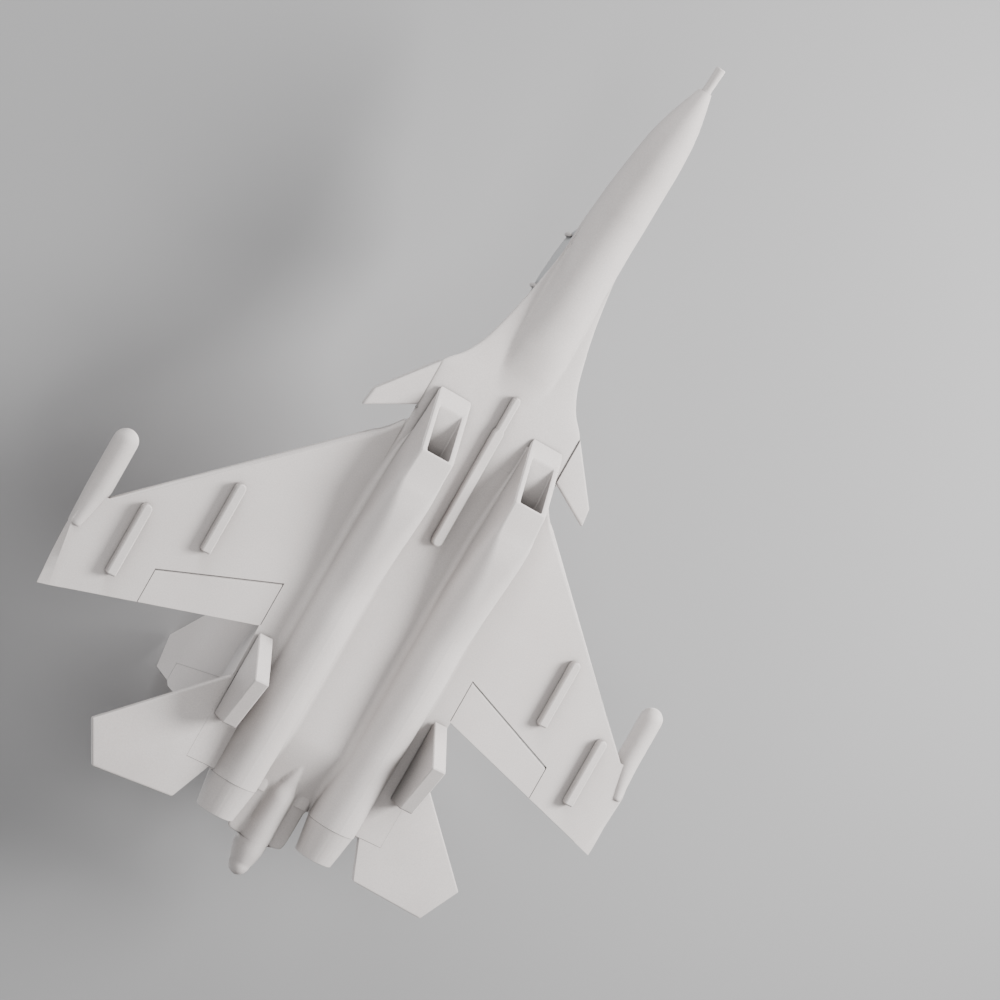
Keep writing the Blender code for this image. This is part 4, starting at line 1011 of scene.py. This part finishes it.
build_fore_body()
build_probe()
build_canopy()
build_deck()
build_floor()
build_keel_rail()
for side_name, mirror in SIDES:
    build_nacelle(side_name, mirror)
    build_fillets(side_name, mirror)
    build_nozzle(side_name, mirror)
    build_pod(side_name, mirror)
    build_flat_pieces(side_name)
    build_boom(side_name, mirror)
    build_moving_surfaces(side_name, mirror)
    build_tip_wedge(side_name, mirror)
    build_fin(side_name, mirror)
    build_rudder(side_name, mirror)
    build_root_pin(side_name, mirror)
finish_equipment()


# ---- stage, light and camera

HORIZON = (0.40, 0.40, 0.405, 1.0)
STAGE_CENTRE = Vector((0.0, 0.0, 0.06))

# Area lights: name, place, diameter, power, colour
LIGHTS = (("key_below", (1.75, -1.00, -1.25), 1.1, 135.0, (1.0, 0.99, 0.98)),
          ("side_below", (-1.5, -2.3, -0.6), 1.4, 60.0, (0.99, 0.99, 1.0)),
          ("fill_below", (-0.6, 0.2, -2.5), 1.6, 30.0, (1.0, 0.99, 0.98)),
          ("key_above", (1.5, -1.3, 2.2), 1.2, 95.0, (1.0, 0.99, 0.98)),
          ("fill_above", (-0.9, 1.5, 2.2), 1.8, 40.0, (0.97, 0.98, 1.0)))

# Camera that matches the photo: its right and back directions, and its place
CAMERA_RIGHT = (0.7867, -0.4941, -0.3701)
CAMERA_BACK = (-0.4345, -0.0174, -0.9005)
CAMERA_SPOT = (-1.25928, -0.0428, -2.6482)


def one_sided(name, colour):
    """Pale matt sheet that shows only on its face side."""
    material, tree, shader = nodes_of(name)
    base = mix_colour(tree, noise(tree, 3.0, 4.0), colour, tuple(c * 0.97 for c in colour[:3]) + (1.0,))
    tree.links.new(base, shader.inputs["Base Color"])
    shader.inputs["Roughness"].default_value = 0.9
    shader.inputs["Specular IOR Level"].default_value = 0.1
    geometry = tree.nodes.new("ShaderNodeNewGeometry")
    clear = tree.nodes.new("ShaderNodeBsdfTransparent")
    blend = tree.nodes.new("ShaderNodeMixShader")
    tree.links.new(geometry.outputs["Backfacing"], blend.inputs[0])
    reach = tree.nodes.new("ShaderNodeVectorMath")
    reach.operation = "LENGTH"
    tree.links.new(geometry.outputs["Position"], reach.inputs[0])
    glow = tree.nodes.new("ShaderNodeEmission")
    glow.inputs["Color"].default_value = HORIZON
    fade = tree.nodes.new("ShaderNodeMixShader")
    tree.links.new(remap(tree, reach.outputs["Value"], 0.8, 3.4, 0.0, 1.0), fade.inputs[0])
    tree.links.new(shader.outputs["BSDF"], fade.inputs[1])
    tree.links.new(glow.outputs["Emission"], fade.inputs[2])
    tree.links.new(fade.outputs["Shader"], blend.inputs[1])
    tree.links.new(clear.outputs["BSDF"], blend.inputs[2])
    tree.links.new(blend.outputs["Shader"], tree.nodes["Material Output"].inputs["Surface"])
    return material


def sheet(name, height, upward, colour):
    """Level sheet above or below the model, which casts and lends no light."""
    size = 30.0
    bm = bmesh.new()
    corners = [(-size, -size), (size, -size), (size, size), (-size, size)]
    if not upward:
        corners = corners[::-1]
    bm.faces.new([bm.verts.new((x, y, height)) for x, y in corners])
    mesh = bpy.data.meshes.new(name)
    bm.to_mesh(mesh)
    bm.free()
    mesh.materials.append(one_sided(name + "_finish", colour))
    item = bpy.data.objects.new(name, mesh)
    item.visible_shadow = False
    item.visible_diffuse = False
    item.visible_glossy = False
    bpy.context.scene.collection.objects.link(item)


def area_light(name, spot, size, power, colour):
    data = bpy.data.lights.new(name, "AREA")
    data.shape = "DISK"
    data.size = size
    data.energy = power
    data.color = colour
    item = bpy.data.objects.new(name, data)
    item.location = spot
    item.rotation_euler = (STAGE_CENTRE - Vector(spot)).to_track_quat("-Z", "Y").to_euler()
    bpy.context.scene.collection.objects.link(item)
    item.visible_camera = False


def build_world():
    """Soft even light, and a pale background behind the floor."""
    world = bpy.data.worlds.new("studio")
    world.use_nodes = True
    tree = world.node_tree
    soft = tree.nodes["Background"]
    soft.inputs["Color"].default_value = (0.80, 0.81, 0.83, 1.0)
    soft.inputs["Strength"].default_value = 0.20
    seen = tree.nodes.new("ShaderNodeBackground")
    seen.inputs["Color"].default_value = HORIZON
    path = tree.nodes.new("ShaderNodeLightPath")
    blend = tree.nodes.new("ShaderNodeMixShader")
    tree.links.new(path.outputs["Is Camera Ray"], blend.inputs[0])
    tree.links.new(soft.outputs["Background"], blend.inputs[1])
    tree.links.new(seen.outputs["Background"], blend.inputs[2])
    tree.links.new(blend.outputs["Shader"], tree.nodes["World Output"].inputs["Surface"])
    bpy.context.scene.world = world


def build_stage():
    sheet("floor", -0.0006, True, (0.46, 0.46, 0.465, 1.0))
    sheet("backdrop", 0.2740, False, (0.36, 0.36, 0.365, 1.0))
    build_world()
    for row in LIGHTS:
        area_light(*row)


def build_camera():
    right = Vector(CAMERA_RIGHT).normalized()
    back = Vector(CAMERA_BACK)
    back = (back - right * back.dot(right)).normalized()
    up = back.cross(right)
    data = bpy.data.cameras.new("camera")
    data.sensor_width = 36.0
    data.lens = 100.8
    data.clip_start = 0.01
    data.clip_end = 100.0
    item = bpy.data.objects.new("camera", data)
    place = Matrix((right, up, back)).transposed().to_4x4()
    place.translation = Vector(CAMERA_SPOT)
    item.matrix_world = place
    bpy.context.scene.collection.objects.link(item)
    bpy.context.scene.camera = item


build_stage()
build_camera()
